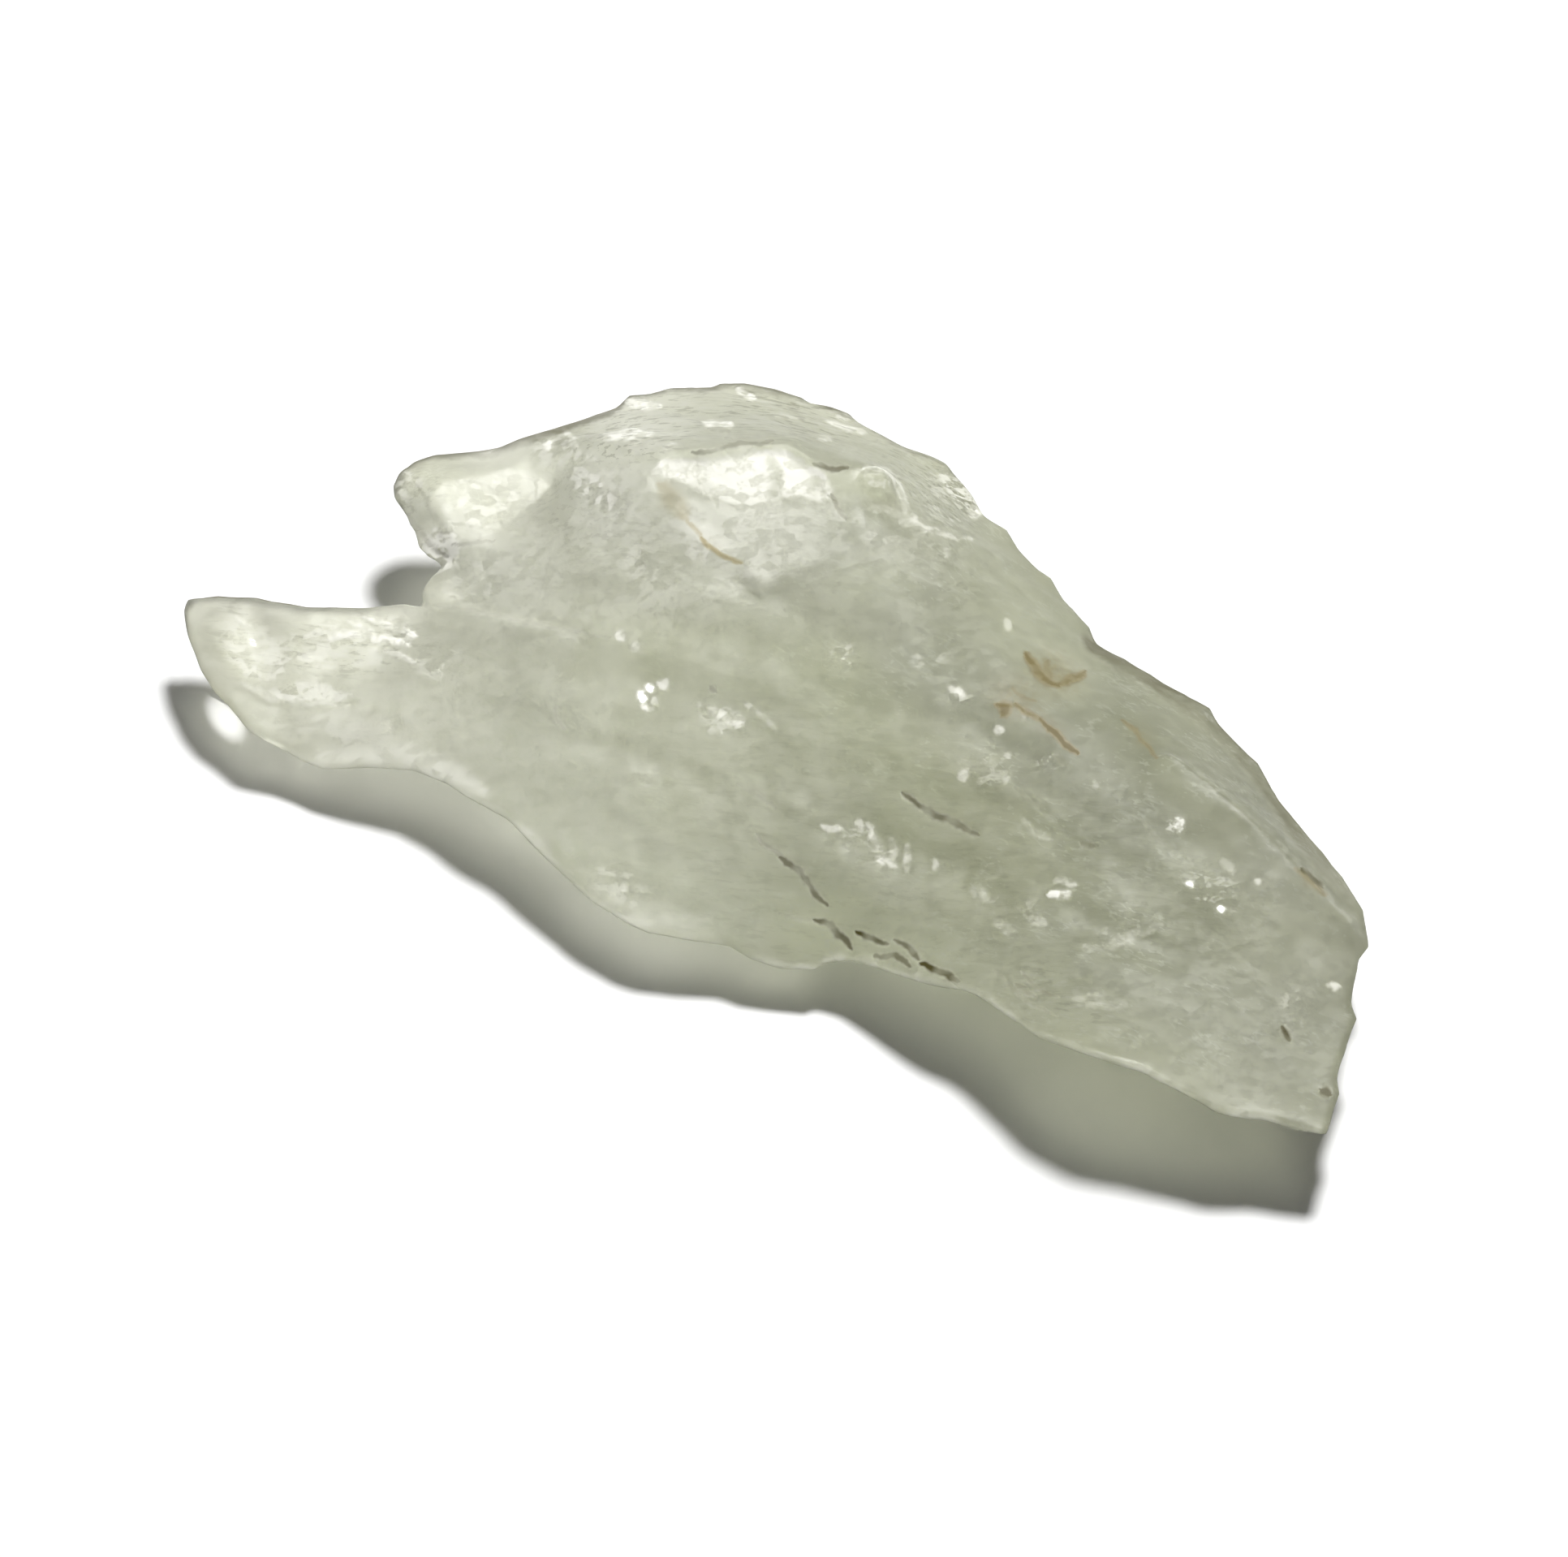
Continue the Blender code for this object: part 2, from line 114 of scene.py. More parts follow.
divide(shape.edges)
smooth_over()
shape.normal_update()
divide([edge for edge in shape.edges if max(vert.normal.z for vert in edge.verts) > UNDERSIDE])
smooth_over()
shape.normal_update()
print("fine copy:", len(shape.verts), "points,", len(shape.faces), "faces")

# %% [markdown]
# ## Measuring marks
#
# Every mark is a line, a spot or an area as seen by the eye.  The helpers below say, for
# all points of the stone at once, how much of a mark each one has: one in the middle of
# it, nothing outside it, and a soft change between.  Points on the far side have none.
#
# Nothing in a broken stone has a clean outline.  So each point's place is first shaken a
# little by noise, and every mark that is then drawn with tidy geometry comes out ragged.
#
# Blender starts noise_vector from the clock.  So a seed is set first, or the stone would
# break a little differently in each run.

# %% Reading the points
SHAKE_SEED = 1795483898   # any whole number but 0, which means the clock
RAGGED = [(0.22, 0.055), (0.7, 0.11)]     # size and strength of each shake, in mm

noise.seed_set(SHAKE_SEED)


def ragged(place):
    """A small sideways shake that differs from place to place."""
    shake = Vector((0, 0, 0))
    for size, strength in RAGGED:
        shake += noise.noise_vector(place / size) * strength
    return shake.xy


def read_points():
    """Each point's plan place, its place as the eye sees it, and how it faces the eye."""
    turn_back = to_plan.to_3x3()
    places = np.array([plan_of(vert.co) for vert in shape.verts])
    normals = np.array([turn_back @ vert.normal for vert in shape.verts])
    seen = np.stack([places[:, 0], 0.8 * places[:, 1] + 0.6 * places[:, 2]], axis=1)
    seen += np.array([ragged(Vector(place)) for place in places])
    facing = np.clip((normals @ np.array(TO_EYE) + 0.1) * 4, 0, 1)
    return places, normals, seen, facing


places, normals, seen, facing = read_points()
print("points that face the eye:", int((facing > 0.5).sum()), "of", len(facing))


# %% [markdown]
# Most marks are lines: how far a point lies from one says how much of it the point has.

# %% Lines
def ease(share):
    """Nought to one, with a soft start and a soft end."""
    share = np.clip(share, 0, 1)
    return share * share * (3 - 2 * share)


def away_from(line):
    """How far each point lies from the line as the eye sees it, and how far along it."""
    nearest = np.full(len(seen), 1e6)
    along_line = np.zeros(len(seen))
    lengths = [np.hypot(x1 - x0, y1 - y0) for (x0, y0), (x1, y1) in zip(line, line[1:])]
    before = 0.0
    for start, end, length in zip(line, line[1:], lengths):
        start = np.array(start, float)
        way = (np.array(end, float) - start) / length
        run = np.clip((seen - start) @ way, 0, length)
        gap = seen - start - run[:, None] * way
        distance = np.hypot(gap[:, 0], gap[:, 1])
        closer = distance < nearest
        nearest[closer] = distance[closer]
        along_line[closer] = (before + run[closer]) / sum(lengths)
        before += length
    return nearest, along_line


def drawn(line, half_width, soft=0.5, blunt=0.3):
    """A drawn line: one along the middle, fading beyond half its width, thin at its ends."""
    distance, along_line = away_from(line)
    width = half_width * (blunt + (1 - blunt) * np.sqrt(4 * along_line * (1 - along_line)))
    return facing * (1 - ease((distance / width - 1 + soft) / (2 * soft)))


def drawn_all(marks, soft, widening=1.0):
    """The most that any of these drawn lines gives each point."""
    return np.maximum.reduce(
        [strength * drawn(line, widening * half_width, soft)
         for line, half_width, strength in marks]
    )


# %% Spots and areas
def oval(flat, x, y, radius, stretch=1.0, lie=0.0):
    """A round spot on a plane, or one stretched along a direction given in degrees."""
    right, up = flat[:, 0] - x, flat[:, 1] - y
    along = right * cos(radians(lie)) + up * sin(radians(lie))
    across = up * cos(radians(lie)) - right * sin(radians(lie))
    return 1 - ease(np.hypot(along / stretch, across) / radius)


def spot(x, y, radius, stretch=1.0, lie=0.0):
    """The same on the stone, as the eye sees it."""
    return facing * oval(seen, x, y, radius, stretch, lie)


def strongest(marks, gain=1):
    """The most that any of these spots gives each point; a gain gives them flat tops."""
    return np.maximum.reduce(
        [strength * np.clip(gain * spot(*place), 0, 1) for *place, strength in marks]
    )


def within(outline, soft=0.12):
    """An area inside an outline, with an edge so many millimetres soft."""
    right, up = seen[:, 0], seen[:, 1]
    odd = np.zeros(len(seen), bool)
    for (x0, y0), (x1, y1) in zip(outline, outline[1:] + outline[:1]):
        if y0 != y1:
            crosses = (y0 > up) != (y1 > up)
            odd ^= crosses & (right < x0 + (up - y0) * (x1 - x0) / (y1 - y0))
    edge = away_from(outline + outline[:1])[0]
    return facing * ease(0.5 + np.where(odd, edge, -edge) / (2 * soft))


# %% Grain
def grain(size, seed, stretch=1.0, lie=0.0):
    """Even noise from nought to one; the grain may be stretched along a direction."""
    way = Vector((cos(radians(lie)), sin(radians(lie)), 0))
    side = Vector((-way.y, way.x, 0))
    shift = Vector((seed * 3.7, seed * 1.3, seed * 2.1))
    values = []
    for place in places:
        place = Vector(place)
        where = Vector((place.dot(way) / stretch, place.dot(side), place.z)) / size
        values.append(0.5 + 0.5 * noise.noise(where + shift))
    return np.array(values)


print("a spot of 1 mm in the middle covers", int((spot(0, 0, 1.0) > 0).sum()), "points")

# %% [markdown]
# ## Where things are on this stone
#
# These are the marks that make this shard this shard, each by its points as the eye sees
# them.  A line mark has its points, half its width and its strength.  A spot has x, y, its
# radius, how far it is stretched, the way it lies in degrees, and its strength.
#
# First come healed cracks, which are dark and thin, and rust that water left in open ones,
# with a tan halo where it has crept into the quartz.  They are colour, drawn on the
# points.  Only the cracks are also sunk, later on, by a hundredth of a millimetre or so.

# %% Cracks and rust
CRACKS = [
    ([(-0.9, -3.0), (-0.5, -3.4), (0.16, -4.0)], 0.12, 0.45),
    ([(0.0, -3.95), (0.78, -4.38), (1.25, -5.16), (1.78, -5.78)], 0.14, 0.85),
    ([(0.0, -6.05), (0.78, -6.19), (1.5, -6.3)], 0.1, 0.35),
    ([(1.3, -6.27), (1.97, -6.48), (2.34, -7.0), (2.78, -7.5)], 0.15, 0.9),
    ([(2.85, -6.75), (3.28, -7.0), (4.2, -7.2)], 0.14, 1.0),
    ([(4.37, -7.1), (4.94, -7.38), (5.4, -7.85)], 0.13, 0.85),
    ([(3.6, -7.75), (4.38, -7.69), (5.1, -8.05)], 0.13, 0.85),
    ([(5.4, -7.98), (6.25, -8.34), (6.9, -8.66)], 0.18, 1.0),
    ([(4.74, -1.5), (5.94, -2.28), (7.6, -3.02)], 0.15, 0.85),
    ([(-1.6, -1.1), (-0.78, -1.56), (0.0, -2.08)], 0.1, 0.3),
    ([(9.0, -8.7), (9.84, -9.28)], 0.12, 0.6),
    ([(9.2, -8.2), (9.7, -8.75), (10.7, -9.3)], 0.1, 0.5),
    ([(8.2, -8.2), (8.9, -8.9), (9.6, -9.5), (10.6, -10.0)], 0.09, 0.35),
    ([(19.15, -10.4), (19.5, -11.0)], 0.17, 1.0),
    ([(20.6, -12.75), (21.0, -12.95)], 0.24, 0.9),
    ([(10.5, 0.1), (11.0, -0.4)], 0.12, 0.35),
    ([(19.95, -4.3), (20.35, -4.65), (20.8, -5.1)], 0.16, 0.9),
    ([(11.5, -3.35), (12.05, -3.5)], 0.17, 0.6),
    ([(-3.3, 11.62), (-2.5, 11.68), (-2.0, 11.85), (-1.2, 11.97), (-0.2, 12.05)], 0.11, 0.6),
    ([(1.3, 11.2), (1.85, 10.97), (2.65, 11.05)], 0.13, 0.85),
    ([(2.03, 10.0), (2.19, 9.53), (2.6, 9.0)], 0.1, 0.6),
    ([(-8.6, 1.9), (-8.55, 1.35), (-8.2, 1.0)], 0.09, 0.3),
    ([(-2.65, 2.55), (-2.4, 2.38)], 0.14, 0.6),
    ([(-13.4, 5.75), (-11.3, 5.45), (-8.9, 4.95), (-6.5, 4.45)], 0.08, 0.22),
    ([(-14.6, 9.7), (-14.1, 8.9), (-13.4, 8.1), (-12.8, 7.6)], 0.13, 0.45),
    ([(-14.1, 10.5), (-13.6, 9.9), (-13.3, 9.1), (-12.9, 8.2)], 0.11, 0.35),
    ([(-12.6, 8.15), (-11.8, 8.1), (-10.9, 8.3)], 0.08, 0.4),
    ([(13.6, -2.2), (14.3, -3.1), (15.2, -3.9)], 0.08, 0.2),
    ([(9.0, -1.2), (10.2, -2.3), (11.2, -3.2)], 0.08, 0.2),
    ([(-2.75, 12.5), (-1.9, 12.48)], 0.1, 0.45),
    ([(-2.1, 12.22), (-1.85, 12.15)], 0.11, 0.35),
    ([(-0.8, 13.95), (-0.35, 13.85)], 0.12, 0.3),
    ([(0.35, 13.5), (0.8, 13.35)], 0.13, 0.35),
    ([(-7.4, 12.35), (-6.8, 12.3)], 0.11, 0.4),
    ([(-8.6, 12.4), (-8.2, 11.9)], 0.18, 0.35),
    ([(4.1, 10.0), (4.7, 9.35)], 0.16, 0.4),
    ([(2.1, 11.3), (2.9, 11.9), (3.8, 12.1)], 0.09, 0.2),
]
RUST = [
    ([(9.4, 3.9), (9.75, 3.5), (10.0, 3.1), (10.35, 2.75), (10.8, 2.6)], 0.24, 0.85),
    ([(10.3, 3.6), (10.3, 3.3), (10.4, 2.9)], 0.18, 0.6),
    ([(10.6, 2.65), (11.0, 2.8), (11.45, 2.95), (11.8, 3.15)], 0.18, 0.8),
    ([(8.35, 1.95), (8.7, 1.8), (8.45, 1.45)], 0.24, 0.9),
    ([(8.9, 2.6), (9.4, 2.2), (9.8, 2.1)], 0.12, 0.5),
    ([(9.0, 1.95), (9.55, 1.6), (10.1, 1.22)], 0.13, 0.8),
    ([(9.9, 1.36), (10.15, 1.2), (10.62, 0.78), (11.1, 0.3), (11.5, 0.0)], 0.15, 1.0),
    ([(13.1, 1.3), (13.5, 1.1), (14.06, 0.4), (14.5, -0.1)], 0.12, 0.62),
    ([(19.7, -4.3), (20.31, -4.84), (20.9, -5.35)], 0.16, 0.4),
    ([(-4.6, 10.4), (-4.0, 9.7), (-3.6, 9.1)], 0.45, 0.32),
    ([(-3.6, 9.0), (-3.0, 8.4)], 0.1, 0.35),
    ([(-3.05, 8.4), (-2.65, 7.95), (-2.2, 7.65), (-1.35, 7.38)], 0.12, 0.6),
]
RUST_HALOES = [
    (10.5, 3.1, 1.7, 1.3, -20.0, 0.45), (9.1, 2.2, 1.7, 1.2, -30.0, 0.4),
    (10.3, 1.1, 0.9, 1.8, -38.0, 0.3), (13.9, 0.7, 0.9, 1.5, -45.0, 0.25),
    (-4.2, 9.8, 0.8, 1.4, -50.0, 0.32), (-2.6, 8.1, 0.6, 2.0, -35.0, 0.15),
    (20.3, -4.9, 0.5, 1.6, -45.0, 0.3), (6.0, 0.1, 2.4, 1.5, -25.0, 0.1),
]
print("cracks:", len(CRACKS), "rust lines:", len(RUST), "haloes:", len(RUST_HALOES))

# %% [markdown]
# Where a flake has sprung off not long ago the face is crushed and white: in the deep chip on the
# ridge, on the face of the upper prong, on the triangular face below the chip, and all along the
# thin front rim, where the white is also painted light over the shaded strip under the rim.  The
# outlines follow those faces.

# %% White faces and the front rim
CHIP = [
    (-5.0, 10.72), (-4.53, 11.31), (-3.59, 11.47), (-2.5, 11.5), (-1.09, 11.78), (0.16, 11.81),
    (0.78, 11.41), (1.72, 10.78), (2.09, 10.16), (2.03, 9.78), (1.41, 9.75), (0.78, 9.94),
    (0.0, 9.81), (-0.94, 9.53), (-1.88, 9.62), (-2.81, 9.94), (-3.44, 10.31), (-4.22, 10.62),
]
APRON = [
    (-3.59, 9.9), (-1.88, 9.62), (0.0, 9.75), (2.03, 9.6), (2.34, 8.75), (2.19, 7.5),
    (0.94, 7.19), (-0.78, 6.72), (-1.41, 7.41), (-2.34, 8.12),
]
FRONT_RIM = [
    (-21.5, 1.6), (-20.4, 0.8), (-19.0, 0.1), (-18.1, -0.35), (-17.4, -0.5), (-15.9, -0.55),
    (-14.2, -0.6), (-13.5, -0.8), (-12.3, -1.5), (-11.3, -2.0), (-10.5, -2.5), (-9.7, -3.1),
    (-9.1, -3.6), (-8.5, -4.4), (-7.9, -5.0), (-7.5, -5.4), (-6.7, -5.9), (-6.0, -6.2),
    (-5.1, -6.8), (-4.2, -7.05), (-3.4, -7.2), (-2.2, -7.4), (-1.1, -7.9), (0.4, -8.2),
    (1.4, -8.2), (1.8, -8.0), (2.2, -7.85), (3.8, -8.15), (4.7, -8.5), (6.0, -8.8),
    (7.1, -9.05), (8.0, -9.4), (8.6, -9.9), (9.2, -10.4), (10.1, -10.9), (11.0, -11.2),
    (12.0, -11.6), (12.8, -11.8), (13.9, -12.1), (15.1, -12.7), (16.1, -13.3), (16.8, -13.6),
    (17.7, -13.8), (18.6, -13.9), (19.2, -14.1), (20.4, -14.45),
]
PRONG_FACE = [
    (-13.31, 10.12), (-13.0, 10.5), (-11.66, 10.69), (-10.53, 11.0), (-9.72, 11.0),
    (-8.84, 10.28), (-9.41, 9.78), (-10.44, 9.0), (-11.16, 8.38), (-12.44, 8.28),
    (-12.91, 9.16),
]
print("white faces:", len([CHIP, APRON, PRONG_FACE]), "with a rim of", len(FRONT_RIM), "points")

# %% [markdown]
# Small flat breaks catch the light as pale bars, which are painted white as highlights, and a few
# of them, turned just so, as sparkles: x, y, radius and brightness.

# %% Pale bars and sparkles
PALE_BARS = [
    ([(-5.95, 13.6), (-5.3, 13.5), (-4.55, 13.42)], 0.2, 1.0),
    ([(-6.84, 12.2), (-5.9, 12.35), (-4.9, 12.42)], 0.2, 1.0),
    ([(-2.95, 12.72), (-2.3, 12.77), (-1.75, 12.66)], 0.15, 0.95),
    ([(-1.7, 14.1), (-1.3, 13.9), (-0.95, 13.75)], 0.18, 0.9),
    ([(1.8, 12.88), (2.6, 12.6), (3.4, 12.42)], 0.13, 0.7),
    ([(2.2, 13.1), (2.8, 13.05)], 0.14, 0.6),
    ([(1.45, 12.15), (2.0, 12.15)], 0.13, 0.7),
    ([(-8.4, 12.6), (-7.95, 12.25), (-7.75, 11.8)], 0.1, 0.8),
    ([(-7.5, 11.35), (-6.9, 11.32)], 0.12, 0.7),
    ([(-9.0, 12.0), (-8.7, 11.9)], 0.18, 0.9),
    ([(-4.6, 11.85), (-4.0, 11.95)], 0.12, 0.5),
    ([(-7.0, 10.6), (-6.2, 10.9)], 0.12, 0.5),
    ([(-6.3, 14.0), (-5.5, 14.05), (-4.2, 14.2)], 0.12, 0.4),
    ([(-0.3, 13.2), (1.0, 12.9)], 0.1, 0.3),
    ([(3.28, 11.03), (4.06, 10.94), (4.53, 10.47), (5.0, 9.38), (5.53, 8.66), (6.41, 8.44),
      (7.5, 8.28)], 0.15, 0.6),
    ([(-20.62, 2.75), (-19.69, 2.25), (-18.12, 2.0), (-16.56, 1.88)], 0.15, 0.6),
    ([(-17.6, 4.4), (-16.2, 4.7), (-14.2, 4.2)], 0.14, 0.8),
    ([(-16.0, 5.3), (-14.9, 4.9), (-14.0, 4.55)], 0.14, 0.9),
    ([(-20.9, 5.3), (-20.3, 4.9)], 0.1, 0.7),
    ([(-15.2, 4.0), (-14.0, 3.6)], 0.12, 0.8),
    ([(-16.6, 5.2), (-15.6, 4.75)], 0.1, 0.7),
    ([(-8.0, 10.7), (-4.9, 7.5), (-0.6, 6.1)], 0.09, 0.18),
    ([(-4.6, 6.4), (-0.6, 5.7)], 0.09, 0.18),
    ([(-4.06, 7.03), (-2.81, 6.41), (-1.25, 6.09)], 0.14, 0.22),
    ([(-13.7, 5.65), (-11.2, 5.3), (-8.1, 4.55), (-6.2, 4.3)], 0.08, 0.12),
    ([(7.81, -9.06), (9.06, -10.25), (10.47, -11.09)], 0.14, 0.25),
    ([(11.91, -11.59), (12.81, -11.66), (13.75, -11.81)], 0.12, 0.3),
    ([(11.56, -7.34), (12.6, -7.3), (13.6, -6.9), (14.7, -6.5)], 0.22, 0.32),
    ([(9.2, -2.4), (9.7, -3.0), (10.4, -3.2)], 0.14, 0.3),
    ([(7.3, -5.2), (8.0, -5.4)], 0.25, 0.3),
    ([(8.2, -6.4), (8.9, -6.8)], 0.2, 0.25),
    ([(9.5, -6.25), (10.2, -6.45)], 0.16, 0.35),
    ([(11.2, -9.4), (12.3, -9.3), (13.2, -9.55)], 0.3, 0.25),
    ([(17.0, -4.0), (17.3, -4.5)], 0.22, 0.3),
    ([(20.9, -8.85), (21.5, -8.95)], 0.12, 0.7),
    ([(15.0, 0.0), (16.25, -0.94), (18.75, -3.12), (20.62, -5.16), (21.88, -6.41)], 0.18, 0.16),
    ([(-2.75, 1.88), (-1.41, 1.09)], 0.16, 0.5),
    ([(-0.94, 1.72), (-0.1, 0.88)], 0.11, 0.4),
    ([(-1.75, 1.35), (-1.35, 1.25)], 0.24, 0.55),
    ([(-2.7, 0.95), (-2.25, 0.9)], 0.15, 0.35),
    ([(1.56, -2.66), (1.9, -2.85), (2.41, -2.78)], 0.14, 0.75),
    ([(3.05, -2.5), (3.15, -2.9)], 0.16, 0.6),
    ([(3.4, -2.6), (3.7, -3.5)], 0.14, 0.6),
    ([(4.22, -3.12), (4.4, -4.2)], 0.15, 0.4),
    ([(4.84, -3.44), (4.9, -4.5)], 0.16, 0.5),
    ([(6.0, -3.95), (6.0, -4.4)], 0.13, 0.5),
    ([(3.7, -3.85), (4.5, -4.3)], 0.14, 0.75),
    ([(10.5, -4.75), (11.3, -4.95)], 0.14, 0.6),
    ([(10.3, -5.42), (11.15, -5.3)], 0.16, 1.0),
]
SPARKLES = [
    (-5.22, 2.25, 0.24, 1.0), (-4.9, 2.55, 0.2, 0.9), (-4.46, 2.7, 0.2, 0.8),
    (-5.16, 1.9, 0.17, 0.8), (-4.75, 2.1, 0.12, 0.7), (-6.09, 4.5, 0.2, 0.55),
    (-5.59, 4.16, 0.18, 0.5), (6.88, 2.41, 0.2, 0.7), (6.62, 2.5, 0.15, 0.5),
    (8.41, 0.94, 0.17, 0.75), (7.06, -0.78, 0.2, 0.6), (8.72, -0.94, 0.15, 0.5),
    (8.78, -0.03, 0.12, 0.4), (15.31, -2.66, 0.24, 0.7), (15.75, -4.94, 0.14, 1.0),
    (16.88, -5.88, 0.15, 1.0), (18.28, -4.84, 0.13, 0.6), (21.25, -8.91, 0.14, 0.6),
    (-20.28, 4.34, 0.16, 1.0), (-5.94, -5.12, 0.14, 0.7), (8.75, 5.0, 0.16, 0.4),
    (6.41, 7.75, 0.18, 0.4), (7.09, 2.19, 0.12, 0.4), (7.55, 9.35, 0.25, 0.6),
    (-3.1, 1.95, 0.1, 0.5), (-1.15, 1.9, 0.12, 0.6), (12.1, -1.2, 0.12, 0.3),
    (16.3, -5.5, 0.08, 0.5), (2.0, 3.9, 0.12, 0.3),
]
print("pale bars:", len(PALE_BARS), "sparkles:", len(SPARKLES))

# %% [markdown]
# Knocks leave clusters of pale crumbs, with dark gaps between them.  Rubbing leaves fine
# strokes, mostly along thin edges.

# %% Crumbs and scuffs
CRUMBS = [
    (-13.0, 7.9, 1.2, 1.0, 0, 1.0), (-8.5, 11.6, 1.3, 1.6, -40, 0.5),
    (-7.3, 10.3, 0.7, 2.6, -45, 0.6), (-10.9, 12.0, 0.4, 3.0, 18, 0.8),
    (-17.0, 4.1, 1.5, 2.6, 2, 0.55), (-14.9, 4.5, 1.2, 1.3, -20, 0.5),
    (-20.2, 4.0, 1.5, 1.6, -50, 0.6), (-18.0, 2.4, 0.6, 4.0, -5, 0.65),
    (-5.0, 2.1, 0.6, 1.3, -40, 0.35), (-5.8, 4.3, 0.5, 1.6, -30, 0.35),
    (-6.2, -5.0, 1.0, 1.8, -25, 0.3), (-13.0, 3.6, 1.2, 1.6, -20, 0.3),
    (-14.2, 10.3, 0.9, 1.3, -60, 0.55), (-11.0, 9.7, 1.6, 1.5, 10, 0.4),
    (2.5, 3.75, 0.9, 1.4, 10, 0.42), (5.7, 3.6, 0.8, 1.3, 0, 0.25),
    (3.5, 9.0, 1.4, 2.0, -10, 0.2), (3.7, 10.6, 0.8, 1.6, -10, 0.5),
    (-5.3, -0.9, 0.6, 1.2, 0, 0.3), (-2.2, 1.5, 0.9, 2.2, -35, 0.35),
    (6.9, 2.0, 0.7, 1.2, 60, 0.4), (7.8, -0.5, 1.1, 1.4, 0, 0.25),
    (10.3, -0.3, 0.6, 1.0, 0, 0.45), (10.6, -5.1, 0.6, 1.2, 80, 0.15),
    (15.2, -2.7, 0.55, 1.2, 30, 0.6), (16.6, -5.2, 1.2, 1.5, -30, 0.3),
    (3.4, -3.4, 0.9, 2.4, -25, 0.4), (9.0, -6.0, 1.0, 1.8, -20, 0.25),
    (6.9, 10.2, 0.6, 3.0, -47, 0.7), (6.2, 9.9, 1.2, 1.8, -45, 0.3),
    (12.6, -7.0, 0.7, 2.6, 15, 0.25), (19.9, -9.6, 0.9, 1.3, -30, 0.3),
    (-5.2, 7.3, 1.0, 1.6, -25, 0.25), (-11.8, 6.6, 1.4, 1.4, 0, 0.25),
]
SCUFFS = [
    (-5.2, 12.6, 1.8, 2.4, 15, 0.9), (0.5, 13.1, 1.5, 3.0, -5, 1.0),
    (5.5, 10.8, 1.6, 2.4, -45, 0.7), (-16.5, 4.2, 1.7, 2.4, 0, 0.7),
    (-7.0, 9.0, 2.4, 1.8, -30, 0.35), (4.0, -5.5, 9.0, 1.6, -35, 0.22),
    (11.0, -9.2, 1.2, 3.0, -30, 0.5), (-14.2, 10.3, 1.6, 1.4, 0, 0.5),
    (-20.5, 4.5, 1.8, 1.4, -60, 0.5), (14.0, -4.5, 4.0, 1.6, -40, 0.25),
]
print("clusters of crumbs:", len(CRUMBS), "scuffed places:", len(SCUFFS))

# %% [markdown]
# The green is deeper where more crystal lies behind the face.  It is painted lighter where light
# comes out again through an edge or from a veil inside, along the front rim, and on the slope in
# front of the middle, which faces away from the lamp.  The body of the colour comes from one slow
# change along the stone.  The deeper spots stand for what lies under the surface; the lighter
# spots and the rim line are painted light.

# %% Deeper and lighter green
DEEPER = [
    (-11.4, 9.7, 1.7, 1.2, 0, 0.45), (-5.2, 2.0, 2.0, 1.2, 90, 0.32),
    (-4.0, -1.6, 1.8, 1.0, 0, 0.3), (-5.5, -4.5, 2.0, 1.0, 0, 0.18),
    (-4.9, 4.5, 1.8, 1.5, 0, 0.14), (1.2, 2.2, 2.4, 1.6, -30, 0.15),
    (3.6, -4.1, 1.5, 1.4, -20, 0.18), (-13.6, 10.9, 1.9, 1.5, 20, 0.7),
    (3.5, 9.75, 0.7, 2.0, -10, 0.45), (-8.4, 12.4, 1.4, 1.5, 20, 0.7),
    (-16.6, 4.9, 1.3, 2.0, 0, 0.2), (-1.0, 14.0, 1.6, 2.5, 0, 0.22),
    (-20.9, 4.3, 1.5, 1.3, -70, 0.4), (-19.6, 1.4, 1.3, 1.3, -30, 0.2),
    (-6.6, -0.8, 1.6, 1.6, 0, 0.1),
]
# Painted light: spots where the green is lightened.
LIGHTER = [
    (17.5, -10.5, 4.0, 1.6, -25, 0.22), (8.0, -5.0, 4.0, 1.5, -25, 0.2),
    (9.7, 4.4, 2.5, 2.0, -48, 0.9), (3.6, 6.5, 1.9, 1.3, 0, 0.8), (2.4, 3.8, 1.6, 1.4, 0, 0.4),
    (19.4, -6.6, 3.2, 1.2, -50, 0.72), (16.6, -4.0, 2.6, 1.2, -40, 0.6),
    (4.5, 10.8, 2.4, 1.6, -25, 0.3), (8.0, 7.5, 1.8, 1.6, -50, 0.3),
    (20.5, -11.5, 2.2, 1.3, 90, 0.35), (3.3, -6.7, 2.4, 1.8, -20, 0.9),
    (0.2, -5.6, 2.2, 1.6, -50, 0.35), (2.0, -4.9, 1.6, 1.5, -45, 0.25),
    (6.2, 4.0, 3.0, 1.6, -20, 0.2), (4.7, -2.6, 1.3, 1.5, -40, 0.25),
    (6.5, -5.2, 1.4, 1.3, 0, 0.25), (10.5, -7.9, 1.6, 1.6, -30, 0.2),
    (14.2, -9.2, 3.0, 1.4, -20, -0.3), (9.8, -2.6, 1.4, 1.2, 0, 0.2),
    (11.5, 3.0, 1.6, 1.6, -45, 0.25), (4.6, 2.2, 1.4, 1.0, 0, 0.2),
    (10.5, 2.9, 1.5, 1.2, -20, 0.35), (9.3, 1.1, 1.1, 1.3, -30, 0.5),
]
# Painted light along the front rim.
LIT_RIM = [
    (0.5, -7.0), (3.5, -7.2), (6.5, -8.0), (9.5, -10.3), (12.5, -11.4), (16.0, -13.2),
    (20.0, -14.1),
]
print("deeper places:", len(DEEPER), "lighter places:", len(LIGHTER))

# %% [markdown]
# ## More points where they are needed
#
# A crack is about a quarter of a millimetre wide, and the copy's edges are not much
# shorter, so it would come out as a row of steps.  Rather than divide everything, only the
# edges near a mark are halved once more.

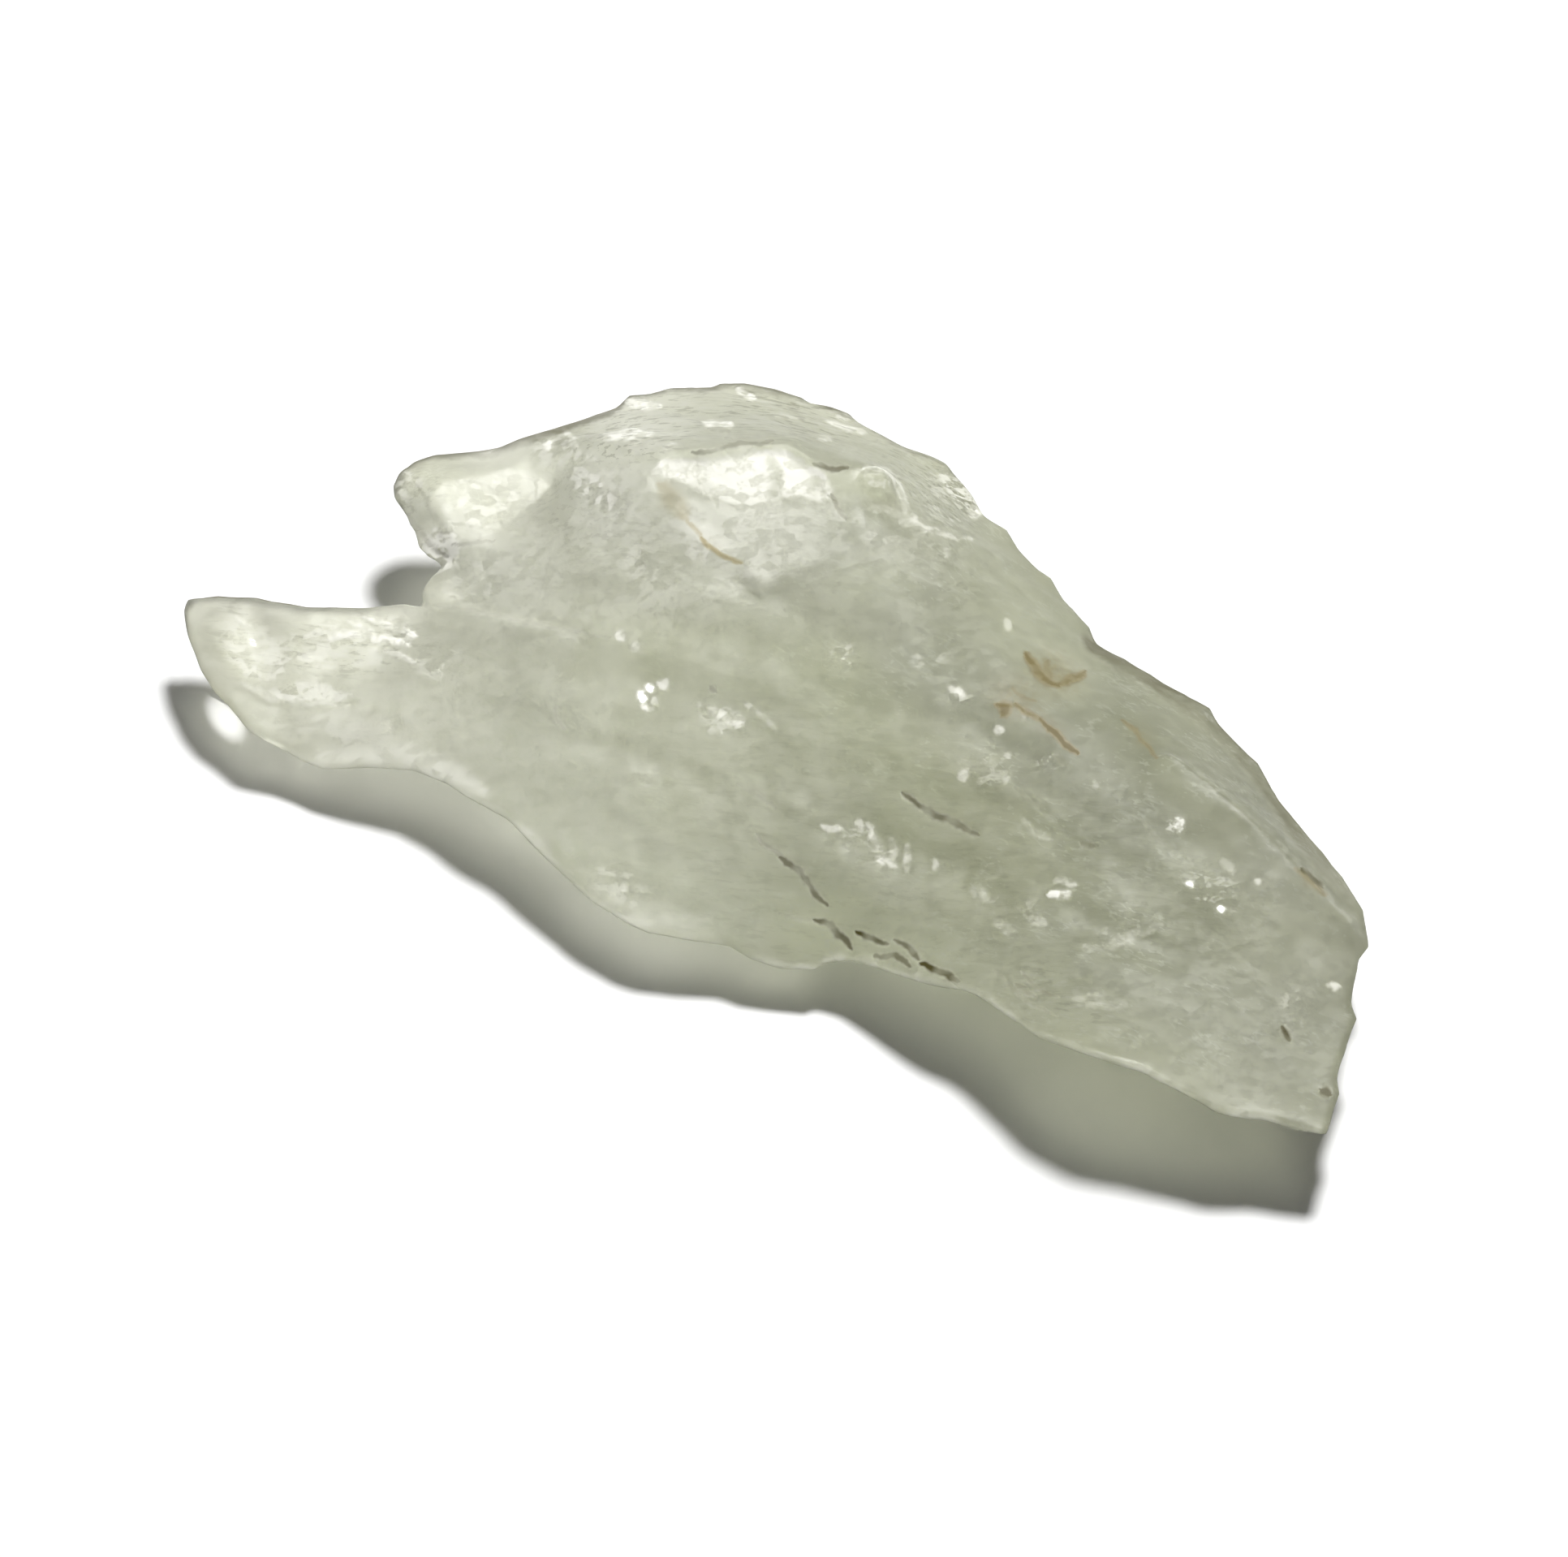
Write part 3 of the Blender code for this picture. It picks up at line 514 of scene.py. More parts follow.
# %% Divide near the marks
BUSY_ENOUGH = 0.4         # the share of a mark from which an edge is halved
LINE_MARGIN = 0.25
BAR_MARGIN = 0.06
SPARKLE_MARGIN = 0.25
DENSE_CRUMBS = 0.42       # weaker clusters do without more points


def divide_near(share):
    """Halves the edges that have a point with enough of this share of a mark."""
    shape.verts.index_update()
    divide([edge for edge in shape.edges
            if max(share[vert.index] for vert in edge.verts) > BUSY_ENOUGH])
    print("divided near the marks:", len(shape.verts), "points,", len(shape.faces), "faces")


divide_near(np.maximum.reduce(
    [drawn(line, LINE_MARGIN, blunt=1) for line, *_ in CRACKS + RUST]
    + [drawn(line, half_width + BAR_MARGIN, blunt=1) for line, half_width, _ in PALE_BARS]
    + [spot(x, y, radius + SPARKLE_MARGIN) for x, y, radius, _ in SPARKLES]
    + [within(outline, 0.2) for outline in (CHIP, PRONG_FACE)]
    + [0.8 * spot(*place) for *place, strength in CRUMBS if strength > DENSE_CRUMBS]
))
places, normals, seen, facing = read_points()

# %% [markdown]
# The dark cracks and the brightest sparkles are finer still.  The edges right on them are
# halved a second time, because a crack whose edge jumps from point to point looks sewn.

# %% And again right on them
CRACK_MARGIN = 0.02
MIRROR = 0.85             # a sparkle brighter than this is a tiny mirror

divide_near(np.maximum.reduce(
    [strength * drawn(line, half_width + CRACK_MARGIN, blunt=1)
     for line, half_width, strength in CRACKS]
    + [spot(x, y, 1.6 * radius) for x, y, radius, brightness in SPARKLES if brightness > MIRROR]
))
places, normals, seen, facing = read_points()

# %% [markdown]
# ## How quartz breaks
#
# Quartz has no easy way to split, so it breaks in curved shells, in small flat plates
# that catch the light one at a time, and in ledges where one crack met another.  Here
# each point is lifted or lowered a little along its own normal: by small plates, each
# with its own slope, by fine ripples, and by the grooves and ridges of the marks.

# %% Plates and ripples
STREAK_LIE = -25.0
streak = Vector((cos(radians(STREAK_LIE)), sin(radians(STREAK_LIE)), 0.0))
cross = Vector((-streak.y, streak.x, 0.0))


def plates(size, tilt, seed, stretch=2.2):
    """Small flat plates, each with its own slope: the rise at each point."""
    rises = []
    for place in places:
        place = Vector(place)
        where = Vector((place.dot(streak) / stretch, place.dot(cross), place.z * 0.6)) / size
        where += Vector((seed, seed * 0.6, seed * 0.3))
        _, centres = noise.voronoi(where)
        slope = noise.noise_vector(centres[0] * 7.3) * tilt
        away = where - centres[0]
        rises.append(size * (away.x * stretch * slope.x + away.y * slope.y))
    return np.array(rises)


crumbly = strongest(CRUMBS)
scarred = np.maximum(within(CHIP, 0.2), within(PRONG_FACE, 0.2))
lift = plates(1.1, 0.016, 1) + plates(0.45, 0.016, 4)
lift += crumbly * (plates(0.5, 0.07, 7) + plates(0.25, 0.06, 9))
lift += scarred * (plates(1.2, 0.12, 12, 1.3) + plates(0.5, 0.05, 15, 1.3))
lift += 0.010 * (grain(0.5, 2, 4.0, STREAK_LIE) - 0.5)
print("plates rise to", round(float(lift.max()), 3), "mm")

# %% [markdown]
# A pale bar stands up a little, as a flake's edge does, and a crack is sunk a little.  Both
# are too small to see as shapes.  They only turn the light.

# %% Grooves and ridges of the marks
BAR_RISE = 0.03
CRACK_DEPTH = 0.015

cracked = drawn_all(CRACKS, 0.9, 1.6)
patchy = ease((grain(0.3, 21) - 0.30) * 4)
# The bars are painted highlights; they also stand up a little.
bars = drawn_all(PALE_BARS, 0.4) * (0.4 + 0.6 * patchy)
lift += BAR_RISE * bars - CRACK_DEPTH * cracked
print("with the marks it rises to", round(float(lift.max()), 3), "mm")

# %% [markdown]
# A sparkle is a flat break that happens to send the lamp's light to the eye.  Whiteness
# alone looks like paint, so the points of the brightest ones are laid on one small plane
# with just that slope, and the material makes them glossy.

# %% Sparkles: tiny mirrors
GLINT_SLOPE = (-0.093, 0.22)
glints = np.zeros(len(seen))
tilts = np.zeros(len(seen))
for x, y, radius, brightness in SPARKLES:
    share = spot(x, y, radius * 1.5) * (brightness > MIRROR)
    centre = places[np.argmin(np.hypot(seen[:, 0] - x, seen[:, 1] - y) + 9 * (facing < 0.5))]
    level = centre[2] + (places[:, :2] - centre[:2]) @ np.array(GLINT_SLOPE)
    inside = share > 0.02
    tilts[inside] += (ease(share * 2.2) * (level - places[:, 2]))[inside]
    glints = np.maximum(glints, brightness * ease(share * 1.8))
# Each sparkle is also painted white into the milk, a little wider than its mirror: a painted
# glint.
painted_glint_dots = np.maximum.reduce(
    [brightness * ease(spot(x, y, radius * 1.7) * 1.6) for x, y, radius, brightness in SPARKLES]
)
print("points on tiny mirrors:", int((glints > 0).sum()))

# %% [markdown]
# All the rises are added up first, and then the points move once.  The resting points
# stay, so the stone still lies flat.

# %% Move the points
shape.verts.ensure_lookup_table()
for index, vert in enumerate(shape.verts):
    if vert.co.z > RESTING:
        vert.co += (vert.normal * lift[index] + Vector((0, 0, tilts[index]))) * MM
        vert.co.z = max(vert.co.z, RESTING)
shape.normal_update()
places, normals, seen, facing = read_points()
print("moved all but the", sum(vert.co.z <= RESTING for vert in shape.verts), "resting points")

# %% [markdown]
# ## Marks for the material
#
# The same marks become values on the points, which the material reads by name: how milky the
# quartz is there, with the painted highlights of bars and sparkles in the same value, how cracked,
# with painted shade at rims and in hollows in the same value, how rusty, how glossy, and how deep
# a green it has.
# Milk, cracks and rust are broken up by a fine grain, as they are on bruised quartz.

# %% Milk and painted highlights
crumb = grain(0.16, 11) * 0.5 + grain(0.33, 12) * 0.5
# The chip's white is in lobes, with painted shade in the creases between them, and it is darker
# towards its foot.
lobes = 1 - np.maximum.reduce([
    0.8 * drawn([(-0.4, 11.5), (-0.1, 10.9), (-0.15, 9.9)], 0.28, 0.9),
    0.6 * spot(1.35, 10.35, 0.6), 0.6 * spot(-2.9, 10.3, 0.7, 1.6, -20),
    0.5 * spot(-2.3, 11.5, 0.5, 3.0, 5), 0.4 * spot(-3.6, 10.9, 0.4),
])
chip_foot = ease((10.7 - seen[:, 1]) / 1.1)
chip_milk = within(CHIP, 0.12) * (0.25 + 0.8 * lobes) * (1 - 0.35 * chip_foot)
apron_milk = within(APRON, 0.25) * (1.0 - ease((seen[:, 0] + 1.2) / 4.0) * 0.8)
prong_milk = within(PRONG_FACE, 0.12) * (0.45 + 0.8 * crumb) * (1 - 0.7 * spot(-10.0, 9.3, 1.5))
milk_and_highlight = np.zeros(len(seen))
# Bars and the dots of the sparkles enter as painted highlights; the chip, the triangular face
# below it and the prong face are crushed white.
for amount, share in [
    (1.0, chip_milk), (0.44, apron_milk), (0.42, prong_milk), (1.0, bars),
    (0.9, np.clip(painted_glint_dots * 1.2, 0, 1)),
]:
    milk_and_highlight = np.maximum(milk_and_highlight, amount * share)
print("white from chip, bars and dots:", int((milk_and_highlight > 0.3).sum()), "points")

# %% [markdown]
# The thin front rim is bruised all along, with a worn strip beside it on the lower prong, and its
# pale line is also painted light over the shaded strip just under it.  Soft veils lie under some
# faces, and a few of these spots are painted light over faces in shade: the crease at the foot of
# the triangular face below the chip, and the underside of the upper prong.  Where two of them
# overlap the stronger one counts, so that they never add up to paint.

# %% Milk of the rim, the veils, and painted light over shade
RIM_MILK = 0.4            # how far in from the rim it reaches, in mm
WORN = [(-17.8, -0.1), (-15.9, 0.0), (-14.2, -0.1), (-12.8, -0.6), (-11.2, -1.5)]
VEILS_AND_PAINTED_LIGHT = [
    (-10.5, 7.2, 3.5, 1.6, -15, 0.25), (5.6, 8.6, 2.6, 1.6, -45, 0.2),
    (-13.5, 1.5, 3.0, 1.6, -20, 0.12), (-6.2, 9.6, 3.4, 1.2, 90, 0.48),
    (-2.9, 8.3, 1.6, 2.2, -38, 0.75), (-5.5, 12.2, 1.9, 1.8, 0, 0.3),
    (-17.0, 1.0, 1.7, 2.4, -12, 0.5), (-21.8, 3.4, 0.8, 1.5, -70, 0.2),
    (-15.6, -0.3, 1.2, 2.2, -10, 0.3), (-1.0, 7.0, 1.3, 2.2, 5, 0.5),
    (-4.7, 6.0, 1.6, 2.2, 0, 0.3), (-12.9, 7.9, 1.1, 1.3, -70, 0.6),
    (-16.5, 0.2, 1.3, 3.0, -12, 0.35),
]
bruised = (0.55 + 0.45 * ease((grain(0.8, 24) - 0.35) * 4)) * 0.5
# Painted light: the rim's pale line reaches the shaded faces just under the rim too.
milk_and_highlight = np.maximum(milk_and_highlight, (1 - ease(away_from(FRONT_RIM)[0] / RIM_MILK)) * bruised)
milk_and_highlight = np.maximum(milk_and_highlight, 0.5 * drawn(WORN, 0.5, 0.85, 0.1))
# Veils, and painted light over the shaded crease and underside.
milk_and_highlight = np.clip(np.maximum(milk_and_highlight, strongest(VEILS_AND_PAINTED_LIGHT)), 0, 1)
crumbly = strongest(CRUMBS, 2)
scuffed = strongest(SCUFFS, 2)
print("milky points:", int((milk_and_highlight > 0.3).sum()), "of", len(milk_and_highlight))

# %% [markdown]
# A crack is dark because its olive stain swallows light.  The same olive is also painted shade: on
# the thin edges where they turn away from the eye, as a lens is dark at its rim, in some hollows,
# and on the side under the blunt end, where it also darkens the shadow on the table.

# %% Cracks, and painted shade on rims and in hollows
TOP_EDGE = [
    (-14.9, 9.9), (-14.7, 10.9), (-13.4, 11.7), (-12.4, 11.7), (-11.0, 11.75), (-10.2, 12.1),
    (-8.6, 12.65), (-7.2, 13.1), (-5.8, 13.85), (-4.2, 14.25), (-1.8, 14.4), (0.8, 14.0),
    (3.0, 13.2), (4.4, 12.3), (6.4, 11.2), (7.5, 10.3), (8.4, 9.2),
]
PRONG_EDGE = [
    (-23.0, 4.6), (-23.0, 5.6), (-22.5, 6.15), (-20.5, 6.15), (-19.5, 6.0), (-18.1, 5.72),
    (-16.5, 5.66), (-15.1, 5.75), (-13.8, 5.65),
]
RIGHT_RIM = [
    (12.2, 4.35), (14.1, 3.3), (15.7, 2.3), (17.0, 1.2), (17.9, 0.35), (18.9, -0.9),
    (20.1, -2.9), (21.6, -4.7), (22.4, -6.2),
]
# Painted shade along these edges, where they turn away from the eye.
DARK_RIMS = [(TOP_EDGE, 0.4, 0.75), (RIGHT_RIM, 0.8, 0.8), (PRONG_EDGE, 0.4, 0.9)]
# Painted shade in some hollows.
DARKENED = [
    (4.2, 9.55, 0.5, 2.4, -15, 0.35), (-6.6, 9.9, 0.45, 2.0, -40, 0.18),
    (-3.9, 9.8, 0.5, 1.8, -35, 0.15), (-14.0, 8.6, 0.22, 4.0, -60, 0.22),
    (-9.9, 9.0, 0.35, 1.4, 60, 0.22), (-13.5, 9.4, 0.2, 5.0, -60, 0.15),
    (-5.5, 11.9, 0.35, 3.0, 10, 0.2), (-1.2, 12.2, 0.2, 6.0, 8, 0.35),
    (-13.9, 10.2, 0.5, 2.0, 70, 0.2), (1.0, 5.9, 0.8, 2.0, -10, 0.1),
    (16.5, -0.3, 1.3, 2.0, -45, 0.06), (13.4, -5.2, 1.4, 1.0, 0, 0.05),
    (12.3, -0.8, 1.4, 1.0, 0, 0.04), (8.0, -0.3, 1.4, 1.3, 0, 0.06),
]
thick = np.clip(0.4 + 1.1 * grain(0.7, 22), 0, 1)
crack_and_shade = thick * drawn_all(CRACKS, 0.6)
# Painted shade: the edges are darkened where they turn away from the eye.
turned_away = ease((0.66 - normals @ np.array(TO_EYE)) / 0.3)
for line, width, strength in DARK_RIMS:
    distance, along_line = away_from(line)
    fading = strength * (1 - along_line ** 6)
    crack_and_shade = np.maximum(crack_and_shade, fading * turned_away * ease(2 - 2 * distance / width))
# Painted shade in the hollows.
crack_and_shade = np.maximum(crack_and_shade, strongest(DARKENED))
# Painted shade on the side under the blunt end; it also darkens the shadow on the table below.
facing_down = normals[:, 2] < 0
crack_and_shade = np.maximum(crack_and_shade, 0.45 * facing_down * ease((seen[:, 0] - 14.5) / 4))
print("dark points:", int((crack_and_shade > 0.3).sum()))

# %% [markdown]
# Rust lines are drawn as cracks are.  Their haloes are spots broken up by a fine grain,
# because rust creeps along the smallest cracks first.

# %% Rust and its haloes
rust = drawn_all(RUST, 0.8) * (0.9 + 0.1 * ease((grain(0.4, 23) - 0.32) * 5))
for x, y, radius, stretch, lie, amount in RUST_HALOES:
    rust = np.maximum(rust, amount * spot(x, y, radius, stretch, lie) * (0.2 + 1.2 * crumb))
rust = np.clip(rust, 0, 1)
print("rusty points:", int((rust > 0.3).sum()))

# %% [markdown]
# ## Windows that let the light down
#
# Near the tips of the prongs the quartz is clear, and light falls through it onto the table.  Each
# window is a spot on the table.  A point belongs to it when its shadow falls there, so every face
# that the light passes on its way is cleared together.  Round the window of the lower prong the
# underside gets painted shade, which keeps the patch of light small and darkens the shadow on the
# table round it.

# %% Windows
LIGHT_LEAN = (0.18, 0.25)  # how far the lamp's light leans along the plan for each mm up
WINDOWS = [
    (-21.1, 1.9, 1.3, 1.5, -60, 1.0), (-14.0, 8.0, 1.6, 1.0, 0, 0.5),
]
DARK_ROUND = (-21.5, 2.0, 3.5)

cast = places[:, :2] - places[:, 2:] * np.array(LIGHT_LEAN)
window = np.maximum.reduce([strength * oval(cast, *place) for *place, strength in WINDOWS])
# Painted shade on the underside round the lower prong's window.
shaded_underside = facing_down * oval(cast, *DARK_ROUND) * (1 - np.clip(2 * window, 0, 1))
crack_and_shade = np.maximum(crack_and_shade, 0.7 * shaded_underside)
print("points in a window:", int((window > 0.5).sum()))

# %% [markdown]
# ## Depth of green, painted light from inside, and gloss
#
# The green deepens from the thin prongs to the thick end, and is painted paler on the slope in
# front of the middle, which faces away from the lamp.  Faces that glow from inside have a mark of
# their own, a painted glow, because they are lighter without being whiter.  Most of the surface is
# dull; a few worn faces are duller, and the tiny mirrors are polished.

# %% Depth of green
deep = ease((seen[:, 0] + 11) / 24)
# The first spot paints a paler green on the slope in front of the middle, which faces away from
# the lamp: painted light.
deep *= 1 - 0.85 * spot(3.4, -5.9, 3.4) - 0.4 * spot(21.0, -7.6, 2.2)
deep = np.maximum(deep, 0.4 * spot(-19.5, 3.8, 7.0)) * (1 - window)
for x, y, radius, stretch, lie, amount in DEEPER:
    deep += amount * spot(x, y, radius, stretch, lie)
deep = np.clip(deep, 0, 1)
# The painted glow: along the front rim and in the lighter spots.
lit = 0.5 * drawn(LIT_RIM, 1.6, 0.9, 0.6)
for x, y, radius, stretch, lie, amount in LIGHTER:
    lit += amount * spot(x, y, radius, stretch, lie)
lit = np.clip(lit, 0, 1)
print("mean depth of green:", round(float(deep.mean()), 3))
print("mean light from inside:", round(float(lit.mean()), 3))

# %% Gloss
DULL = [
    (-21.3, 3.6, 2.8, 1.0, 0, 0.7), (16.8, -6.2, 3.2, 1.4, -40, 0.5),
    (6.5, 4.5, 2.0, 3.0, -60, 0.4), (-1.0, 10.8, 2.0, 2.4, 0, 0.5),
    (-11.2, 9.6, 1.8, 1.6, 20, 0.45),
]
gloss = np.array(glints)
for x, y, radius, stretch, lie, amount in DULL:
    gloss -= amount * spot(x, y, radius, stretch, lie) * (1 - glints)
print("gloss from", round(float(gloss.min()), 2), "to", round(float(gloss.max()), 2))

# %% [markdown]
# ## The stone as an object
#
# The finished mesh goes into an object that stands for the CAD solid and rides on the
# one body of the model.  The marks go along as attributes of its points.  It stays at the
# origin, unturned, so that patterns on Object coordinates keep their place on it.

# %% Make the object
for face in shape.faces:
    face.smooth = True
mesh = bpy.data.meshes.new("raw_shard")
shape.to_mesh(mesh)
shape.free()
marks = {
    "milk_and_highlight": milk_and_highlight, "crack_and_shade": crack_and_shade, "rust": rust, "deep": deep, "lit": lit, "gloss": gloss,
    "window": window, "crumbly": crumbly, "scuffed": scuffed,
}
for name, values in marks.items():
    layer = mesh.attributes.new(name, "FLOAT", "POINT")
    layer.data.foreach_set("value", values.astype(np.float32))
shard = bpy.data.objects.new("raw_shard", mesh)
bpy.context.scene.collection.objects.link(shard)
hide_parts("prasiolite")
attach(shard, "root")
print("shard:", len(mesh.polygons), "triangles, with the marks", ", ".join(marks))

# %% [markdown]
# ## Pale green, milky quartz
#
# Clear quartz bends light with an index of 1.544.  This piece is full of veils, so it
# shows a milky body as well as what lies behind it: the Principled shader's transmission
# weight is the share that goes through, and the rest scatters at the surface.  Inside,
# plain absorption takes a little red and more blue, so thick places turn green.  A real
# scattering volume would do the same and take far longer to render.

# %% Material helpers
crystal = bpy.data.materials.new("pale_green_quartz")
crystal.use_nodes = True
nodes = crystal.node_tree.nodes
links = crystal.node_tree.links
surface = nodes["Principled BSDF"]


def join(source, target):
    links.new(source, target)


def mark(name):
    """The value that the points carry under this name."""
    reader = nodes.new("ShaderNodeAttribute")
    reader.attribute_name = name
    return reader.outputs["Fac"]


def math(operation, first, second, clamp=False):
    step = nodes.new("ShaderNodeMath")
    step.operation = operation
    step.use_clamp = clamp
    for socket, value in zip(step.inputs, (first, second)):
        if isinstance(value, (int, float)):
            socket.default_value = value
        else:
            join(value, socket)
    return step.outputs["Value"]


def blend(share, first, second):
    """A colour between two others, each a colour or the output of a node."""
    mixer = nodes.new("ShaderNodeMix")
    mixer.data_type = "RGBA"
    join(share, mixer.inputs[0])
    for socket, value in zip((mixer.inputs[6], mixer.inputs[7]), (first, second)):
        if isinstance(value, tuple):
            socket.default_value = (*value, 1.0)
        else:
            join(value, socket)
    return mixer.outputs[2]


def spread(value, low, high, to_low=0.0, to_high=1.0):
    """The value stretched from one range to another, and held inside it."""
    ranger = nodes.new("ShaderNodeMapRange")
    ranger.interpolation_type = "SMOOTHSTEP"
    join(value, ranger.inputs["Value"])
    for name, number in zip(("From Min", "From Max", "To Min", "To Max"),
                            (low, high, to_low, to_high)):
        ranger.inputs[name].default_value = number
    return ranger.outputs["Result"]


def weighed(*parts):
    """The sum of several values, each times its weight."""
    total = None
    for value, weight in parts:
        part = math("MULTIPLY", value, weight)
        total = part if total is None else math("ADD", total, part)
    return total


print("material:", crystal.name)

# %% [markdown]
# ## Patterns finer than the points
#
# Fracture surfaces show streaks along the way they split, angular flakes each a shade
# lighter or darker than the next, and fine crumbs.  Noise stretched along the streaks and
# a pattern of cells give these.  They are in Object coordinates, in millimetres.

# %% Pattern helpers
placed = nodes.new("ShaderNodeTexCoord")


def turned(stretch, lie):
    """Object coordinates in millimetres, turned and squeezed along the grain's way."""
    mapping = nodes.new("ShaderNodeMapping")
    mapping.vector_type = "TEXTURE"
    mapping.inputs["Rotation"].default_value = (0, 0, radians(lie) + LIE_TURN)
    mapping.inputs["Scale"].default_value = (MM * stretch, MM, MM)
    join(placed.outputs["Object"], mapping.inputs["Vector"])
    return mapping.outputs["Vector"]


def cloud(size, stretch=1.0, lie=STREAK_LIE, detail=3.0, rough=0.55):
    texture = nodes.new("ShaderNodeTexNoise")
    join(turned(stretch, lie), texture.inputs["Vector"])
    texture.inputs["Scale"].default_value = 1 / size
    texture.inputs["Detail"].default_value = detail
    texture.inputs["Roughness"].default_value = rough
    return texture.outputs["Fac"]


def flakes(size, stretch, lie=STREAK_LIE):
    """A different value for each angular flake."""
    texture = nodes.new("ShaderNodeTexVoronoi")
    join(turned(stretch, lie), texture.inputs["Vector"])
    texture.inputs["Scale"].default_value = 1 / size
    shades = nodes.new("ShaderNodeSeparateColor")
    join(texture.outputs["Color"], shades.inputs["Color"])
    return shades.outputs["Red"]


print("streaks lie", STREAK_LIE, "degrees from the plan's x")

# %% Patches, streaks, flakes and veins
patches = cloud(0.9, 1.7, detail=4.0, rough=0.68)
streaks = cloud(0.30, 2.4, detail=3.0, rough=0.65)
facets = flakes(0.8, 1.8)
chips = flakes(0.32, 1.6, 10.0)
flecks = spread(cloud(0.17, 1.8, detail=1.0), 0.60, 0.66)
crowded = spread(cloud(1.3, 1.5, 20.0, detail=1.0), 0.42, 0.62)
veins = spread(math("ABSOLUTE", math("SUBTRACT", cloud(0.9, 2.6, detail=2.0), 0.5), 0.0),
               0.0, 0.035, 1.0, 0.0)
fine = cloud(0.13, 1.3, 10.0, detail=2.0)
unevenness = weighed((patches, 0.11), (streaks, 0.19), (facets, 0.15), (chips, 0.22), (fine, 0.33))
shade = spread(unevenness, 0.27, 0.73)
print("patterns so far:", len(nodes), "nodes")

# %% [markdown]
# Crumbs and the gaps between them come from one pattern: above a level it makes a crumb
# and below another a gap.  Scratches and furrows do the same with long thin grain.

# %% Crumbs, gaps and scratches
broken = weighed((fine, 0.6), (chips, 0.4))
torn = spread(broken, 0.33, 0.58, 0.62, 1.10)
crumbs = math("ADD", broken, math("MULTIPLY", mark("crumbly"), 0.34))
crumbs = math("MULTIPLY", spread(crumbs, 0.68, 0.76), mark("crumbly"))
gaps = math("MULTIPLY", spread(broken, 0.34, 0.42, 1.0, 0.0), mark("crumbly"))
strokes = cloud(0.20, 5.0, -8.0, detail=2.0, rough=0.6)
scratches = math("MULTIPLY", spread(strokes, 0.55, 0.62), mark("scuffed"))
furrows = math("MULTIPLY", spread(strokes, 0.38, 0.45, 1.0, 0.0), mark("scuffed"))
print("with crumbs and scratches:", len(nodes), "nodes")

# %% [markdown]
# ## Colour, see-through and gloss
#
# The body colour runs from a warm white at the thin prongs to a grey green at the thick end, with
# soft patches, streaks and flakes a shade lighter or darker, and a fresher green painted where
# light comes from inside.  Milk, crumbs and scratches whiten it, and so do the painted highlights
# of bars and sparkles; the gaps between crumbs and the furrows between scratches darken it.  Rust
# stains it tan at first and brown where it is thick, and a crack turns it olive, as does the
# painted shade at thin rims, in hollows and on undersides.

# %% Colours
PALE = (0.94, 0.94, 0.828)
PALE_SHADE = (0.89, 0.89, 0.778)
GREEN = (0.559, 0.568, 0.422)
# The green of the painted glow.
LIT_GREEN = (0.87, 0.884, 0.69)
GREEN_SHADE = (0.513, 0.522, 0.380)
FLECK = (0.86, 0.88, 0.735)
# White for milk, crumbs and scratches, and for the painted highlights.
MILK_AND_HIGHLIGHT_WHITE = (0.86, 0.858, 0.775)
RUST_TAN = (0.53, 0.455, 0.26)
RUST_BROWN = (0.17, 0.135, 0.05)
# The olive of the cracks, also used for painted shade.
CRACK_AND_SHADE_OLIVE = (0.06, 0.052, 0.012)
print("body from", PALE, "to", GREEN)

# %% Layers of colour
milk_and_highlight_share = math("MULTIPLY", mark("milk_and_highlight"), torn, True)
stained = spread(mark("rust"), 0.0, 0.55, 0.0, 0.9)
rusty = spread(mark("rust"), 0.45, 0.95)
body = blend(mark("deep"), blend(shade, PALE_SHADE, PALE), blend(shade, GREEN_SHADE, GREEN))
for share, colour in [
    # The painted glow.
    (mark("lit"), LIT_GREEN),
    (math("MULTIPLY", math("MULTIPLY", flecks, crowded), 0.5), FLECK),
    (math("MULTIPLY", math("MULTIPLY", veins, crowded), 0.35), FLECK),
    # Milk, with the painted highlights of bars and sparkles.
    (milk_and_highlight_share, MILK_AND_HIGHLIGHT_WHITE),
    (math("MULTIPLY", furrows, 0.40), CRACK_AND_SHADE_OLIVE),
    (math("MULTIPLY", gaps, 0.22), CRACK_AND_SHADE_OLIVE),
    (math("MULTIPLY", scratches, 0.6), MILK_AND_HIGHLIGHT_WHITE),
    (crumbs, MILK_AND_HIGHLIGHT_WHITE),
    (stained, RUST_TAN),
    (rusty, RUST_BROWN),
    # Cracks, and painted shade on rims, in hollows and on undersides.
    (mark("crack_and_shade"), CRACK_AND_SHADE_OLIVE),
]:
    body = blend(share, body, colour)
join(body, surface.inputs["Base Color"])
print("with its colours:", len(nodes), "nodes")

# %% [markdown]
# A clear place lets three quarters of the light through.  Milk, crumbs, rust and cracks each take
# some of that away, and so do the painted highlights in the milk and the painted shade among the
# cracks.  Broken quartz is dull, so gloss is the exception.

# %% See-through and gloss
CLEAR = 0.76
VEILED = 0.69
QUARTZ_IOR = 1.544

